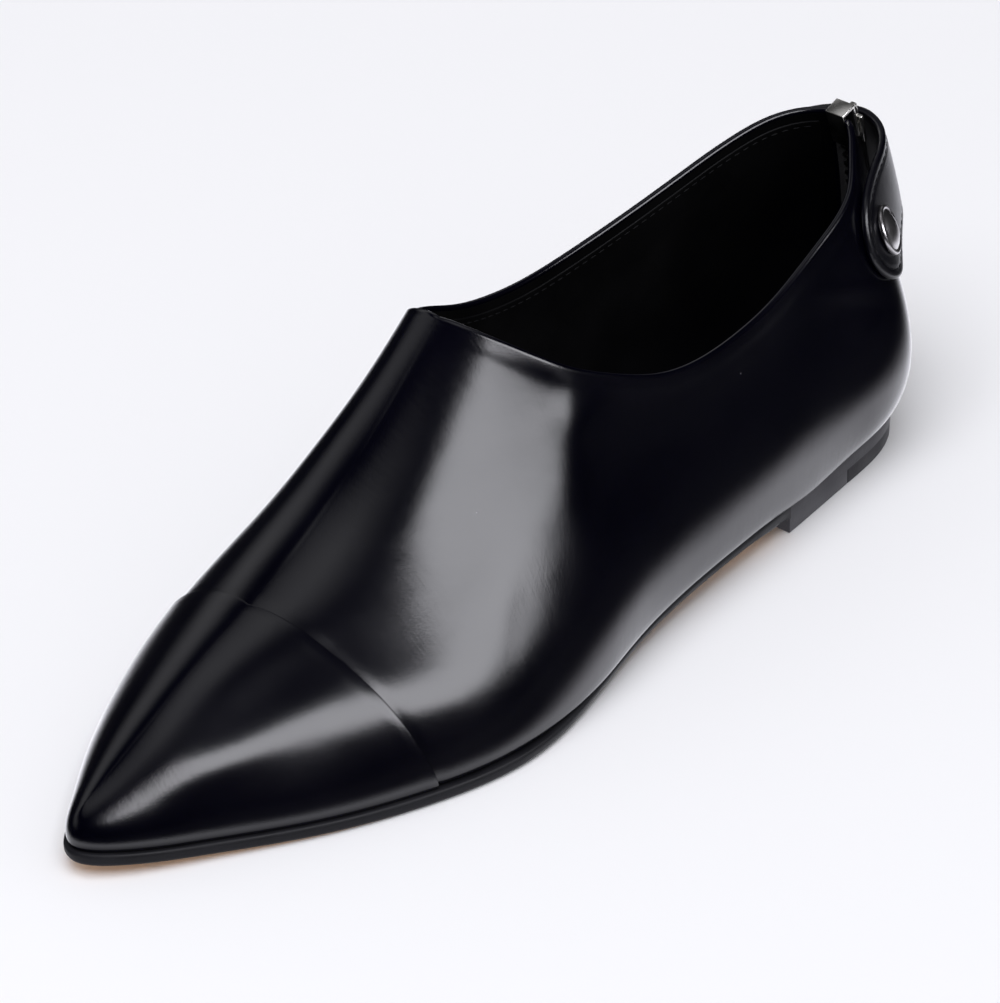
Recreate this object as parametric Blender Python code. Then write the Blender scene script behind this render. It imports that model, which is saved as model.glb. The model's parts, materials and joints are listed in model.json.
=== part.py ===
"""Pointed flat shoe for the left foot: toe cap, back zip, and a heel strap closed by a snap.

The sizes below are in millimetres. The model is in metres, with +X to the toe, +Y to the outer
side of the foot and +Z up. The shoe stands on the floor, its origin under the middle of its box.
"""
import math

import bmesh
import bpy
import numpy as np

MM = 0.001
SHARP_ANGLE_DEG = 40.0
BISECTIONS = 36

# Sole and heel
FIT_GAP = 0.3
HEEL_HEIGHT = 3.9
HEEL_BREAST_X = 67.0
HEEL_SPLIT_X = 42.0
HEEL_INSET = 0.2
SOLE_EDGE = 1.2
SOLE_HEEL_THICKNESS = 4.3
SOLE_TREAD_THICKNESS = 3.2
SOLE_THINS_FROM_X = 20.0
SEAT_RISE = 0.8
WAIST_START_X = 88.0
TREAD_START_X = 170.0
TREAD_END_X = 200.0
TOE_SPRING = 3.0
SOLE_STATIONS = 44
HEEL_STATIONS = 14
END_INSET = 0.05

# Insole
INSOLE_THICKNESS = 2.0
INSOLE_CLEARANCE = 0.7

# Upper and toe cap
WALL = 1.8
WALL_ROWS = 14
HEEL_COLUMNS = 13
HEEL_COLUMN_POWER = 1.2
THROAT_COLUMNS = 7
THROAT_REACH = 34.0
VAMP_COLUMNS = 6
CAP_COLUMNS = 9
CAP_COLUMN_POWER = 1.5
CAP_FOOT_OUT_X = 197.0
CAP_FOOT_IN_X = 198.5
CAP_TOP_X = 208.0
CAP_RECESS = 0.5
CAP_PROUD = 0.7
NORMAL_UP_LIMITS = (0.01, 0.97)
NORMAL_STEP_ALONG = 0.2
NORMAL_STEP_UP = 0.005

# Back zip
SLIT_HALF = 4.6
SLIT_BOTTOM_ROW = 4
TAPE_GAP = 0.45
CHAIN_HALF = 1.9
CHAIN_PROUD = 0.3
CHAIN_BACK = -2.1
TAPE_FACE = -0.5
TAPE_BACK = -1.3
CHAIN_ROWS = 12
CHAIN_FOOT_W = 0.30
CHAIN_TOP_W = 0.985

# Slider, in its own directions: out from the back of the heel and up along it from the collar
SLIDER_TOP = 2.0
SLIDER_NECK = 0.9
SLIDER_FOOT = -8.0
SLIDER_FACE = (0.6, 1.5)
SLIDER_BACK = (-3.3, -2.7)
SLIDER_HALF_TOP = 2.6
SLIDER_HALF_FOOT = 2.3
SLIDER_TANGENT = 0.08
BRIDGE_HALF = 0.8
BRIDGE_UP = (-7.4, -0.6)
BRIDGE_LEG = 1.0
BRIDGE_INNER = 3.4
BRIDGE_OUTER = 4.2

# Pull tab, about its pivot bar
PIVOT_OUT = 2.6
PIVOT_UP = -3.6
PULL_THICKNESS = 1.1
PULL_HALF_WIDTH = 3.0
PULL_HEAD = 0.8
PULL_WINDOW_HALF = 1.5
PULL_WINDOW_END = 5.2
PULL_LENGTH = 24.0
PULL_END_HEIGHT = 46.0
PULL_END_OUT = 2.4

# Heel strap and snap
STRAP_HALF_WIDTH = 10.3
STRAP_THICKNESS = 1.8
STRAP_BACK_HEIGHT = 57.5
STRAP_DROP = 4.6
STRAP_REACH = 38.0
STRAP_TAB_REACH = 46.0
STRAP_BULGE_REACH = 27.0
STRAP_STANDOFF = 0.4
STRAP_BULGE = 5.0
STRAP_COLUMNS = 36
STRAP_BANDS = 4
STRAP_END_LIMIT = 0.97
SNAP_RADIUS = 6.0
SNAP_HEIGHT = 2.2
SNAP_FROM_END = 10.5
SNAP_RINGS = 4
SNAP_SIDES = 20

# Sections of the last from the back of the heel to the tip of the toe.
# turn: way the wall faces, 90 straight back, 0 sideways, -90 straight ahead
# foot: where the wall meets the sole, on the outer and inner side of the foot
# flare and side_up: lower handle of the wall's curve, outwards and upwards from its foot
# crown and crown_drop: upper handle, outwards and down from the ridge
# ridge: top of the section, which lies above the collar behind the throat
SECTION_COLUMNS = (
    "turn", "foot_x", "foot_out", "foot_in", "flare_out", "flare_in", "side_up",
    "crown_out", "crown_in", "crown_drop", "ridge_x", "ridge_y", "ridge_z",
)
SECTIONS = {
    "back":   (90, 4.0, 0.0, 0.0, 19.0, 19.0, 26, 16.0, 16.0, 0.0, 29.0, 0.0, 105.0),
    "round":  (58, 9.5, 14.7, 15.1, 17.0, 16.0, 26, 4.0, 13.0, 0.0, 32.0, 0.0, 105.0),
    "heel":   (28, 21.0, 25.2, 19.9, 21.5, 10.5, 26, -6.0, 12.5, 0.0, 36.0, 0.5, 105.0),
    "seat":   (8, 40.0, 29.2, 20.1, 8.0, 12.0, 26, 3.0, 13.5, 0.0, 45.0, 0.5, 106.0),
    "breast": (0, 67.0, 31.6, 20.4, 1.5, 17.0, 26, 11.5, 14.8, 0.0, 68.0, 0.0, 107.0),
    "waist":  (0, 98.0, 33.4, 19.4, 0.0, 19.0, 26, 16.5, 17.5, 0.0, 98.0, -2.0, 107.0),
    "instep": (0, 126.0, 35.6, 22.0, 0.0, 15.0, 24, 16.2, 16.2, 0.0, 126.0, -5.0, 99.5),
    "throat": (0, 150.0, 40.2, 28.8, 0.4, 10.5, 22, 16.6, 16.6, 0.0, 143.9, -6.0, 80.6),
    "ball":   (0, 175.0, 42.3, 36.6, 1.2, 7.2, 18, 18.4, 18.4, 0.0, 173.0, -7.5, 54.4),
    "cap":    (0, 200.0, 35.7, 39.0, 1.8, 5.0, 14, 17.8, 17.8, 0.0, 198.0, -6.8, 41.4),
    "toe":    (0, 224.0, 24.3, 33.2, 1.4, 2.2, 10, 13.4, 13.4, 0.0, 222.0, -5.6, 33.6),
    "point":  (-8, 244.0, 11.9, 22.9, 1.0, 1.2, 8, 8.0, 8.0, 0.3, 241.0, -5.6, 25.2),
    "nose":   (-34, 257.0, 3.1, 14.2, 0.8, 0.8, 6, 4.6, 4.6, 1.2, 253.0, -6.4, 18.6),
    "tip":    (-90, 264.5, -7.2, 7.2, 0.4, 0.4, 4.5, 3.4, 3.4, 2.0, 259.5, -7.0, 15.2),
}

# Collar: place along the shoe, and height over the floor on the outer and inner side
COLLAR = (
    (4.0, 72.6, 72.6),
    (20.0, 68.5, 70.1),
    (45.0, 59.9, 64.7),
    (60.0, 56.4, 61.3),
    (75.0, 55.3, 58.8),
    (90.0, 55.5, 57.9),
    (105.0, 58.2, 59.8),
    (118.0, 63.6, 64.0),
    (130.0, 70.2, 69.9),
    (139.5, 77.3, 75.6),
    (143.9, 80.6, 80.6),
)

# Base colour, roughness and metallic value of each material
FINISHES = {
    "sole_leather": ((0.55, 0.36, 0.22), 0.6, 0.0),
    "heel_leather": ((0.012, 0.012, 0.016), 0.5, 0.0),
    "heel_rubber": ((0.02, 0.02, 0.024), 0.8, 0.0),
    "insole_leather": ((0.01, 0.01, 0.012), 0.7, 0.0),
    "black_leather": ((0.008, 0.008, 0.014), 0.25, 0.0),
    "zip_tape": ((0.01, 0.01, 0.012), 0.8, 0.0),
    "snap_metal": ((0.35, 0.34, 0.33), 0.3, 1.0),
    "slider_metal": ((0.5, 0.49, 0.47), 0.3, 1.0),
}

OUTER, INNER = 1, -1


def smooth_step(x, start, end):
    """Rises from 0 at start to 1 at end with level ends."""
    t = np.clip((np.asarray(x, float) - start) / (end - start), 0.0, 1.0)
    return t * t * (3.0 - 2.0 * t)


def sole_underside(x):
    """Height of the outsole's underside: level over the heel, down to the tread, up at the toe."""
    arch = (HEEL_HEIGHT + FIT_GAP) * (1.0 - smooth_step(x, WAIST_START_X, TREAD_START_X))
    tip_x = SECTIONS["tip"][SECTION_COLUMNS.index("foot_x")]
    ahead = np.clip((np.asarray(x, float) - TREAD_END_X) / (tip_x - TREAD_END_X), 0.0, None)
    return arch + TOE_SPRING * ahead ** 2


def sole_top(x):
    """Height of the outsole's upper face, which rises a little at the back of the seat."""
    thinning = smooth_step(x, SOLE_THINS_FROM_X, TREAD_START_X)
    thickness = SOLE_HEEL_THICKNESS + (SOLE_TREAD_THICKNESS - SOLE_HEEL_THICKNESS) * thinning
    behind = np.clip(1.0 - np.asarray(x, float) / SOLE_THINS_FROM_X, 0.0, None)
    return sole_underside(x) + thickness + SEAT_RISE * behind ** 2


def foot_height(x):
    """Height of the upper's foot over the floor."""
    return sole_top(x) + FIT_GAP


class Spline:
    """Natural cubic spline through rows of values."""

    def __init__(self, knots, rows):
        self.knots = np.asarray(knots, float)
        self.rows = np.asarray(rows, float).reshape(len(self.knots), -1)
        self.steps = np.diff(self.knots)
        count = len(self.knots)
        matrix = np.eye(count)
        right = np.zeros_like(self.rows)
        for i in range(1, count - 1):
            before, after = self.steps[i - 1], self.steps[i]
            matrix[i, i - 1:i + 2] = before, 2.0 * (before + after), after
            rise = (self.rows[i + 1] - self.rows[i]) / after - (self.rows[i] - self.rows[i - 1]) / before
            right[i] = 6.0 * rise
        self.bends = np.linalg.solve(matrix, right)

    def at(self, places):
        """Values at each place, a row for each."""
        places = np.clip(np.atleast_1d(np.asarray(places, float)), self.knots[0], self.knots[-1])
        i = np.clip(np.searchsorted(self.knots, places, side="right") - 1, 0, len(self.steps) - 1)
        step = self.steps[i][:, None]
        a = (self.knots[i + 1] - places)[:, None] / step
        b = 1.0 - a
        bend = (a ** 3 - a) * self.bends[i] + (b ** 3 - b) * self.bends[i + 1]
        return a * self.rows[i] + b * self.rows[i + 1] + bend * step ** 2 / 6.0


def bisect(shape, too_small):
    """Numbers from 0 to 1 at which too_small(numbers) turns from True to False."""
    low = np.zeros(shape)
    high = np.ones(shape)
    for _ in range(BISECTIONS):
        middle = (low + high) / 2.0
        small = too_small(middle)
        low = np.where(small, middle, low)
        high = np.where(small, high, middle)
    return (low + high) / 2.0


class Last:
    """Outside of the upper as a surface of two numbers.

    along: distance along the foot line from the back of the heel, positive on the outer side.
    up: 0 at the foot of the wall, 1 at the ridge.
    """

    WRAP = 4

    def __init__(self):
        names = list(SECTIONS)
        ribs = [self.rib(name, INNER) for name in reversed(names)]
        ribs += [self.rib(name, OUTER) for name in names[1:-1]]
        feet = np.array([rib[0] for rib in ribs + ribs[:1]])
        lengths = np.linalg.norm(np.diff(feet, axis=0), axis=1)
        chain = np.concatenate([[0.0], np.cumsum(lengths)])
        chain -= chain[len(names) - 1]
        around = chain[-1] - chain[0]
        chain = chain[:-1]
        wrap = self.WRAP
        knots = np.concatenate([chain[-wrap:] - around, chain, chain[:wrap] + around])
        self.ribs = Spline(knots, np.array(ribs[-wrap:] + ribs + ribs[:wrap]))
        places = np.append(chain, chain[0] + around)
        self.place = {(name, INNER): chain[len(names) - 1 - i] for i, name in enumerate(names)}
        self.place.update({(name, OUTER): places[len(names) - 1 + i] for i, name in enumerate(names)})
        columns = np.array(COLLAR)
        self.collar = Spline(columns[:, 0], columns[:, 1:])

    @staticmethod
    def rib(name, side):
        """Four control points of one half section."""
        row = dict(zip(SECTION_COLUMNS, SECTIONS[name]))
        turn = math.radians(row["turn"])
        outward = np.array([-math.sin(turn), side * math.cos(turn), 0.0])
        end = "out" if side == OUTER else "in"
        foot_y = row["foot_out"] if side == OUTER else -row["foot_in"]
        foot = np.array([row["foot_x"], foot_y, float(foot_height(row["foot_x"]))])
        ridge = np.array([row["ridge_x"], row["ridge_y"], row["ridge_z"]])
        low = foot + outward * row["flare_" + end] + np.array([0.0, 0.0, row["side_up"]])
        high = ridge + outward * row["crown_" + end] - np.array([0.0, 0.0, row["crown_drop"]])
        return np.concatenate([foot, low, high, ridge]).reshape(4, 3)

    def point(self, along, up):
        """Points of the surface."""
        along, up = np.broadcast_arrays(np.asarray(along, float), np.asarray(up, float))
        ribs = self.ribs.at(along.ravel()).reshape(-1, 4, 3)
        t = up.ravel()[:, None]
        s = 1.0 - t
        weights = np.concatenate([s ** 3, 3.0 * s * s * t, 3.0 * s * t * t, t ** 3], axis=1)
        return np.einsum("ij,ijk->ik", weights, ribs).reshape(along.shape + (3,))

    def normal(self, along, up):
        """Unit outward normals. At the foot and the ridge they are read a little inside the surface."""
        up = np.clip(up, *NORMAL_UP_LIMITS)
        across = self.point(along + NORMAL_STEP_ALONG, up) - self.point(along - NORMAL_STEP_ALONG, up)
        rising = self.point(along, up + NORMAL_STEP_UP) - self.point(along, up - NORMAL_STEP_UP)
        normals = np.cross(rising, across)
        return normals / np.linalg.norm(normals, axis=-1, keepdims=True)

    def collar_up(self, along):
        """Height number at which each rib is cut by the collar."""
        along = np.asarray(along, float)
        column = np.where(along >= 0.0, 0, 1)

        def below(up):
            points = self.point(along, up)
            heights = self.collar.at(points[:, 0])
            return points[:, 2] < heights[np.arange(len(along)), column]

        return bisect(along.shape, below)

    def up_at_height(self, along, height):
        """Height number at which each rib reaches a height over the floor."""
        along, height = np.broadcast_arrays(np.asarray(along, float), np.asarray(height, float))

        def below(up):
            return self.point(along, up)[..., 2] < height

        return bisect(along.shape, below)

    def cap_along(self, side, up):
        """Place of the toe cap's rear edge on one side, for each height number."""
        start, end = self.place["throat", side], self.place["tip", side]
        foot_x = CAP_FOOT_OUT_X if side == OUTER else CAP_FOOT_IN_X
        edge_x = foot_x + (CAP_TOP_X - foot_x) * up

        def behind(share):
            return self.point(start + (end - start) * share, up)[..., 0] < edge_x

        return start + (end - start) * bisect(up.shape, behind)


class UpperGrid:
    """Columns and rows of points over the last, shared by the upper and the toe cap.

    Columns run from the tip along the inner side to the back and along the outer side to the tip.
    """

    def __init__(self, last):
        self.last = last
        inner_along, inner_up = self.side_columns(INNER)
        outer_along, outer_up = self.side_columns(OUTER)
        self.side_count = len(inner_along) - 1
        self.along = np.concatenate([inner_along[::-1], outer_along[1:-1]])
        self.up = np.concatenate([inner_up[::-1], outer_up[1:-1]])
        self.count = len(self.along)
        self.points = last.point(self.along, self.up)
        self.normals = last.normal(self.along, self.up)
        self.ids = np.arange(self.along.size).reshape(self.along.shape)
        self.join_ridge()

    def side_columns(self, side):
        """Surface numbers of one side's columns, from the back to the tip."""
        last = self.last
        rows = np.linspace(0.0, 1.0, WALL_ROWS + 1)
        throat = abs(last.place["throat", side])
        share = np.linspace(0.0, 1.0, HEEL_COLUMNS + 1)
        heel = SLIT_HALF + (throat - THROAT_REACH - SLIT_HALF) * share ** HEEL_COLUMN_POWER
        left = 1.0 - np.arange(1, THROAT_COLUMNS + 1) / THROAT_COLUMNS
        foot = np.concatenate([[0.0], heel, throat - THROAT_REACH * left])
        top = np.concatenate([[0.0], heel, throat - THROAT_REACH * left ** 2])
        cut = last.collar_up(side * top)
        cut[-1] = 1.0
        along = side * (foot[:, None] + (top - foot)[:, None] * rows)
        up = cut[:, None] * rows
        cap = last.cap_along(side, rows)
        blend = (np.arange(1, VAMP_COLUMNS + 1) / VAMP_COLUMNS)[:, None]
        vamp = along[-1] + (cap - along[-1]) * blend
        reach = 1.0 - (1.0 - np.arange(1, CAP_COLUMNS + 1) / CAP_COLUMNS) ** CAP_COLUMN_POWER
        toe = cap + (last.place["tip", side] - cap) * reach[:, None]
        along = np.concatenate([along, vamp, toe])
        up = np.concatenate([up, np.broadcast_to(rows, vamp.shape), np.broadcast_to(rows, toe.shape)])
        return along, up

    def join_ridge(self):
        """Gives both sides one row of points along the ridge ahead of the throat."""
        for column in range(1, VAMP_COLUMNS + CAP_COLUMNS + 1):
            twin = self.count - column
            normal = self.normals[column, -1] + self.normals[twin, -1]
            self.normals[column, -1] = normal / np.linalg.norm(normal)
            self.points[column, -1] = (self.points[column, -1] + self.points[twin, -1]) / 2.0
            self.ids[twin, -1] = self.ids[column, -1]

    def cap_share(self):
        """1 under the toe cap and 0 elsewhere, for each column."""
        share = np.zeros(self.count)
        share[:CAP_COLUMNS] = 1.0
        share[self.count - CAP_COLUMNS + 1:] = 1.0
        return share[:, None]

    def faces(self, first, last, skip=lambda column, row: False):
        """Quads between columns first and last, counted round the tip where they are negative."""
        quads = []
        for column in range(first, last):
            here, there = self.ids[column % self.count], self.ids[(column + 1) % self.count]
            for row in range(WALL_ROWS):
                if not skip(column, row):
                    quads.append((here[row], here[row + 1], there[row + 1], there[row]))
        return quads

    def offset(self, distance):
        """All points moved along their normals, as one list."""
        distance = np.broadcast_to(distance, self.along.shape)
        return (self.points + self.normals * distance[..., None]).reshape(-1, 3)


def boundary_edges(faces):
    """Directed edges that only one face uses."""
    edges = {(a, b) for face in faces for a, b in zip(face, face[1:] + face[:1])}
    return [(a, b) for a, b in edges if (b, a) not in edges]


def shell(outside, inside, faces):
    """Closed wall between two sheets of points that share their faces."""
    count = len(outside)
    solid = list(faces)
    solid += [tuple(count + i for i in reversed(face)) for face in faces]
    solid += [(b, a, count + a, count + b) for a, b in sorted(boundary_edges(faces))]
    return np.concatenate([outside, inside]), solid


def strip_solid(stations, right, left, bottom, top):
    """Solid of cross strips from station to station, each with level edges at top and bottom."""
    corners = []
    for x, y_right, y_left, low, high in zip(stations, right, left, bottom, top):
        corners += [(x, y_right, low), (x, y_left, low), (x, y_left, high), (x, y_right, high)]
    faces = [(3, 2, 1, 0)]
    for i in range(len(stations) - 1):
        a, b = 4 * i, 4 * (i + 1)
        for side in range(4):
            following = (side + 1) % 4
            faces.append((a + side, a + following, b + following, b + side))
    end = 4 * (len(stations) - 1)
    faces.append((end, end + 1, end + 2, end + 3))
    return np.array(corners), faces


def grid_solid(sheet_out, sheet_in):
    """Closed plate between two grids of points, columns by rows, the first on the outer face."""
    columns, rows = sheet_out.shape[:2]
    ids = np.arange(columns * rows).reshape(columns, rows).tolist()
    faces = []
    for i in range(columns - 1):
        for j in range(rows - 1):
            faces.append((ids[i][j], ids[i][j + 1], ids[i + 1][j + 1], ids[i + 1][j]))
    return shell(sheet_out.reshape(-1, 3), sheet_in.reshape(-1, 3), faces)


def material(name):
    """Principled material of one finish."""
    colour, roughness, metallic = FINISHES[name]
    made = bpy.data.materials.get(name) or bpy.data.materials.new(name)
    made.use_nodes = True
    shader = made.node_tree.nodes["Principled BSDF"]
    shader.inputs["Base Color"].default_value = (*colour, 1.0)
    shader.inputs["Roughness"].default_value = roughness
    shader.inputs["Metallic"].default_value = metallic
    return made


def make_object(name, finish, points, faces, pivot=(0.0, 0.0, 0.0)):
    """Object from points in millimetres, with its origin at the pivot."""
    mesh = bpy.data.meshes.new(name)
    pivot = np.asarray(pivot, float)
    corners = ((np.asarray(points) - pivot) * MM).tolist()
    mesh.from_pydata(corners, [], [tuple(int(i) for i in face) for face in faces])
    clean = bmesh.new()
    clean.from_mesh(mesh)
    bmesh.ops.delete(clean, geom=[v for v in clean.verts if not v.link_faces], context="VERTS")
    bmesh.ops.recalc_face_normals(clean, faces=clean.faces)
    clean.to_mesh(mesh)
    clean.free()
    mesh.shade_smooth()
    mesh.set_sharp_from_angle(angle=math.radians(SHARP_ANGLE_DEG))
    mesh.materials.append(material(finish))
    made = bpy.data.objects.new(name, mesh)
    made.location = tuple(pivot * MM)
    bpy.context.scene.collection.objects.link(made)
    return made


class Outline:
    """Sole outline: the upper's foot line moved out or in, as the two sides' y at any x."""

    SAMPLES = 500

    def __init__(self, last, outward):
        self.sides = {}
        for side in (OUTER, INNER):
            along = np.linspace(0.0, last.place["tip", side], self.SAMPLES)
            foot = last.point(along, 0.0)[:, :2]
            heading = np.gradient(foot, axis=0) * side
            heading /= np.linalg.norm(heading, axis=1)[:, None]
            edge = foot + outward * np.stack([-heading[:, 1], heading[:, 0]], axis=1)
            forward = np.maximum.accumulate(edge[:, 0])
            self.sides[side] = forward, edge[:, 1]
        self.start = max(xs[0] for xs, _ in self.sides.values()) + END_INSET
        self.end = min(xs[-1] for xs, _ in self.sides.values()) - END_INSET

    def y(self, side, x):
        """Sideways place of one side at x."""
        return np.interp(x, *self.sides[side])

    def solid(self, start, end, stations, bottom, top):
        """Strips between two places along the shoe, closer together at round ends."""
        share = (1.0 - np.cos(np.linspace(0.0, math.pi, stations + 1))) / 2.0
        x = start + (end - start) * share
        return strip_solid(x, self.y(INNER, x), self.y(OUTER, x), bottom(x), top(x))


def build_sole(last):
    """Outsole, heel lift with its rubber rear corner, and insole."""
    edge = Outline(last, SOLE_EDGE)
    solid = edge.solid(edge.start, edge.end, SOLE_STATIONS, sole_underside, sole_top)
    make_object("outsole", "sole_leather", *solid)

    heel = Outline(last, SOLE_EDGE - HEEL_INSET)
    split = FIT_GAP / 2.0

    def floor(x):
        return np.zeros_like(x)

    def lift(x):
        return np.full_like(x, HEEL_HEIGHT)

    front = heel.solid(HEEL_SPLIT_X + split, HEEL_BREAST_X, HEEL_STATIONS, floor, lift)
    make_object("heel_lift", "heel_leather", *front)
    rear = heel.solid(heel.start, HEEL_SPLIT_X - split, HEEL_STATIONS, floor, lift)
    make_object("heel_rubber", "heel_rubber", *rear)

    inside = Outline(last, -WALL - INSOLE_CLEARANCE)
    solid = inside.solid(
        inside.start, inside.end, SOLE_STATIONS, foot_height, lambda x: foot_height(x) + INSOLE_THICKNESS)
    make_object("insole", "insole_leather", *solid)


def build_upper(grid):
    """Hollow upper, open at the collar, underneath and along the zip, and the cap over its toe."""
    back = grid.side_count
    slit = (back - 1, back)
    faces = grid.faces(0, grid.count, lambda column, row: column in slit and row >= SLIT_BOTTOM_ROW)
    recess = -CAP_RECESS * grid.cap_share()
    solid = shell(grid.offset(recess), grid.offset(-WALL), faces)
    make_object("upper", "black_leather", *solid)

    faces = grid.faces(-CAP_COLUMNS, CAP_COLUMNS)
    solid = shell(grid.offset(CAP_PROUD), grid.offset(recess + FIT_GAP), faces)
    make_object("toe_cap", "black_leather", *solid)


class BackFrame:
    """Directions in the shoe's middle plane: up along the back of the heel, out from it, and sideways."""

    def __init__(self, origin, up):
        self.origin = origin
        self.up = up / np.linalg.norm(up)
        self.out = np.array([-self.up[2], 0.0, self.up[0]])
        self.side = np.array([0.0, 1.0, 0.0])

    def point(self, out, side, up):
        """Place from the three distances."""
        return self.origin + self.out * out + self.side * side + self.up * up


def back_point(last, up, outward):
    """Point off the middle of the back, in the shoe's middle plane."""
    middle = np.array([0.0])
    return (last.point(middle, up)[0] + last.normal(middle, up)[0] * outward) * np.array([1.0, 0.0, 1.0])


def slider_frame(last):
    """Frame of the slider, with its origin on the collar."""
    cut = last.collar_up(np.array([0.0]))
    top = back_point(last, cut, 0.0)
    return BackFrame(top, top - back_point(last, cut - SLIDER_TANGENT, 0.0))


def pull_frame(last, slider):
    """Frame of the pull tab about its pivot bar: its lower end lies close to the zip."""
    pivot = slider.point(PIVOT_OUT, 0.0, PIVOT_UP)
    low = last.up_at_height(np.array([0.0]), np.array([PULL_END_HEIGHT]))
    return BackFrame(pivot, pivot - back_point(last, low, PULL_END_OUT))


def build_zip_chain(last):
    """Closed zip in the slit: tape at both edges and the raised chain between them."""
    share = np.linspace(CHAIN_FOOT_W, CHAIN_TOP_W, CHAIN_ROWS + 1)
    edge = SLIT_HALF - TAPE_GAP
    across = np.array([-edge, -CHAIN_HALF, -CHAIN_HALF, CHAIN_HALF, CHAIN_HALF, edge])
    face = np.array([TAPE_FACE, TAPE_FACE, CHAIN_PROUD, CHAIN_PROUD, TAPE_FACE, TAPE_FACE])
    rear = np.array([TAPE_BACK, TAPE_BACK, CHAIN_BACK, CHAIN_BACK, TAPE_BACK, TAPE_BACK])
    along = np.broadcast_to(across[:, None], (len(across), len(share)))
    up = last.collar_up(across)[:, None] * share
    points, normals = last.point(along, up), last.normal(along, up)
    solid = grid_solid(points + normals * face[:, None, None], points + normals * rear[:, None, None])
    make_object("zip_chain", "zip_tape", *solid)


def prism(frame, outline, half_at):
    """Solid from an outline of (out, up) corners, reaching half_at(up) to each side."""
    right = [frame.point(out, -half_at(up), up) for out, up in outline]
    left = [frame.point(out, half_at(up), up) for out, up in outline]
    count = len(outline)
    faces = [tuple(range(count)), tuple(reversed(range(count, 2 * count)))]
    faces += [(i, i + count, (i + 1) % count + count, (i + 1) % count) for i in range(count)]
    return np.array(right + left), faces


def build_slider(frame):
    """Slider: two plates joined over the end of the chain, with a bridge for the pull tab."""
    face_in, face_out = SLIDER_FACE
    back_in, back_out = SLIDER_BACK
    body = [
        (back_in, SLIDER_FOOT), (back_in, SLIDER_TOP), (face_out, SLIDER_TOP), (face_out, SLIDER_FOOT),
        (face_in, SLIDER_FOOT), (face_in, SLIDER_NECK), (back_out, SLIDER_NECK), (back_out, SLIDER_FOOT),
    ]
    slope = (SLIDER_HALF_TOP - SLIDER_HALF_FOOT) / (SLIDER_TOP - SLIDER_FOOT)
    points, faces = prism(frame, body, lambda up: SLIDER_HALF_TOP + slope * (up - SLIDER_TOP))
    slider = make_object("zip_slider", "slider_metal", points, faces)

    low, high = BRIDGE_UP
    sunk = (face_in + face_out) / 2.0
    arch = [
        (sunk, low), (BRIDGE_OUTER, low), (BRIDGE_OUTER, high), (sunk, high),
        (sunk, high - BRIDGE_LEG), (BRIDGE_INNER, high - BRIDGE_LEG),
        (BRIDGE_INNER, low + BRIDGE_LEG), (sunk, low + BRIDGE_LEG),
    ]
    points, faces = prism(frame, arch, lambda up: BRIDGE_HALF)
    bridge = make_object("zip_bridge", "slider_metal", points, faces)
    bridge.hide_render = True
    bridge.display_type = "WIRE"
    join = slider.modifiers.new("bridge", "BOOLEAN")
    join.operation = "UNION"
    join.solver = "EXACT"
    join.object = bridge


def build_pull(frame):
    """Pull tab: a flat plate whose window passes round the slider's bridge; it swings on its top bar."""
    sides = np.array([-PULL_HALF_WIDTH, -PULL_WINDOW_HALF, PULL_WINDOW_HALF, PULL_HALF_WIDTH])
    heights = np.array([PULL_HEAD, -PULL_HEAD, -PULL_WINDOW_END, -PULL_LENGTH])
    ids = np.arange(sides.size * heights.size).reshape(sides.size, heights.size).tolist()
    faces = []
    for i in range(sides.size - 1):
        for j in range(heights.size - 1):
            if (i, j) != (1, 1):
                faces.append((ids[i][j], ids[i + 1][j], ids[i + 1][j + 1], ids[i][j + 1]))
    sheets = []
    for out in (PULL_THICKNESS / 2.0, -PULL_THICKNESS / 2.0):
        sheets.append(np.array([frame.point(out, side, up) for side in sides for up in heights]))
    points, faces = shell(sheets[0], sheets[1], faces)
    make_object("zip_pull", "slider_metal", points, faces, frame.origin)


def strap_middle(along):
    """Height of the strap's middle line, which falls away from the back on both sides."""
    return STRAP_BACK_HEIGHT - STRAP_DROP * np.abs(along) / STRAP_REACH


def strap_standoff(along):
    """Distance of the strap's inner face from the upper: it stands off round the back."""
    bow = np.cos(np.clip(along / STRAP_BULGE_REACH, -1.0, 1.0) * math.pi / 2.0) ** 2
    return STRAP_STANDOFF + STRAP_BULGE * bow


def build_strap(last):
    """Heel strap over the zip, with a D-shaped sewn end inside and a round snapped end outside."""
    turn = np.linspace(-STRAP_END_LIMIT, STRAP_END_LIMIT, STRAP_COLUMNS + 1)
    share = np.sin(turn * math.pi / 2.0) / math.sin(STRAP_END_LIMIT * math.pi / 2.0)
    middle = (STRAP_REACH - STRAP_TAB_REACH) / 2.0
    half_length = (STRAP_REACH + STRAP_TAB_REACH) / 2.0
    along = middle + half_length * share
    straight = half_length - STRAP_HALF_WIDTH
    past = np.clip((np.abs(along - middle) - straight) / STRAP_HALF_WIDTH, 0.0, STRAP_END_LIMIT)
    half_width = STRAP_HALF_WIDTH * np.sqrt(1.0 - past ** 2)
    bands = np.linspace(-1.0, 1.0, STRAP_BANDS + 1)
    places = np.broadcast_to(along[:, None], (len(along), len(bands)))
    heights = strap_middle(along)[:, None] + half_width[:, None] * bands
    up = last.up_at_height(places, heights)
    points, normals = last.point(places, up), last.normal(places, up)
    standoff = strap_standoff(along)[:, None, None]
    solid = grid_solid(points + normals * (standoff + STRAP_THICKNESS), points + normals * standoff)
    make_object("heel_strap", "black_leather", *solid)


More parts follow.
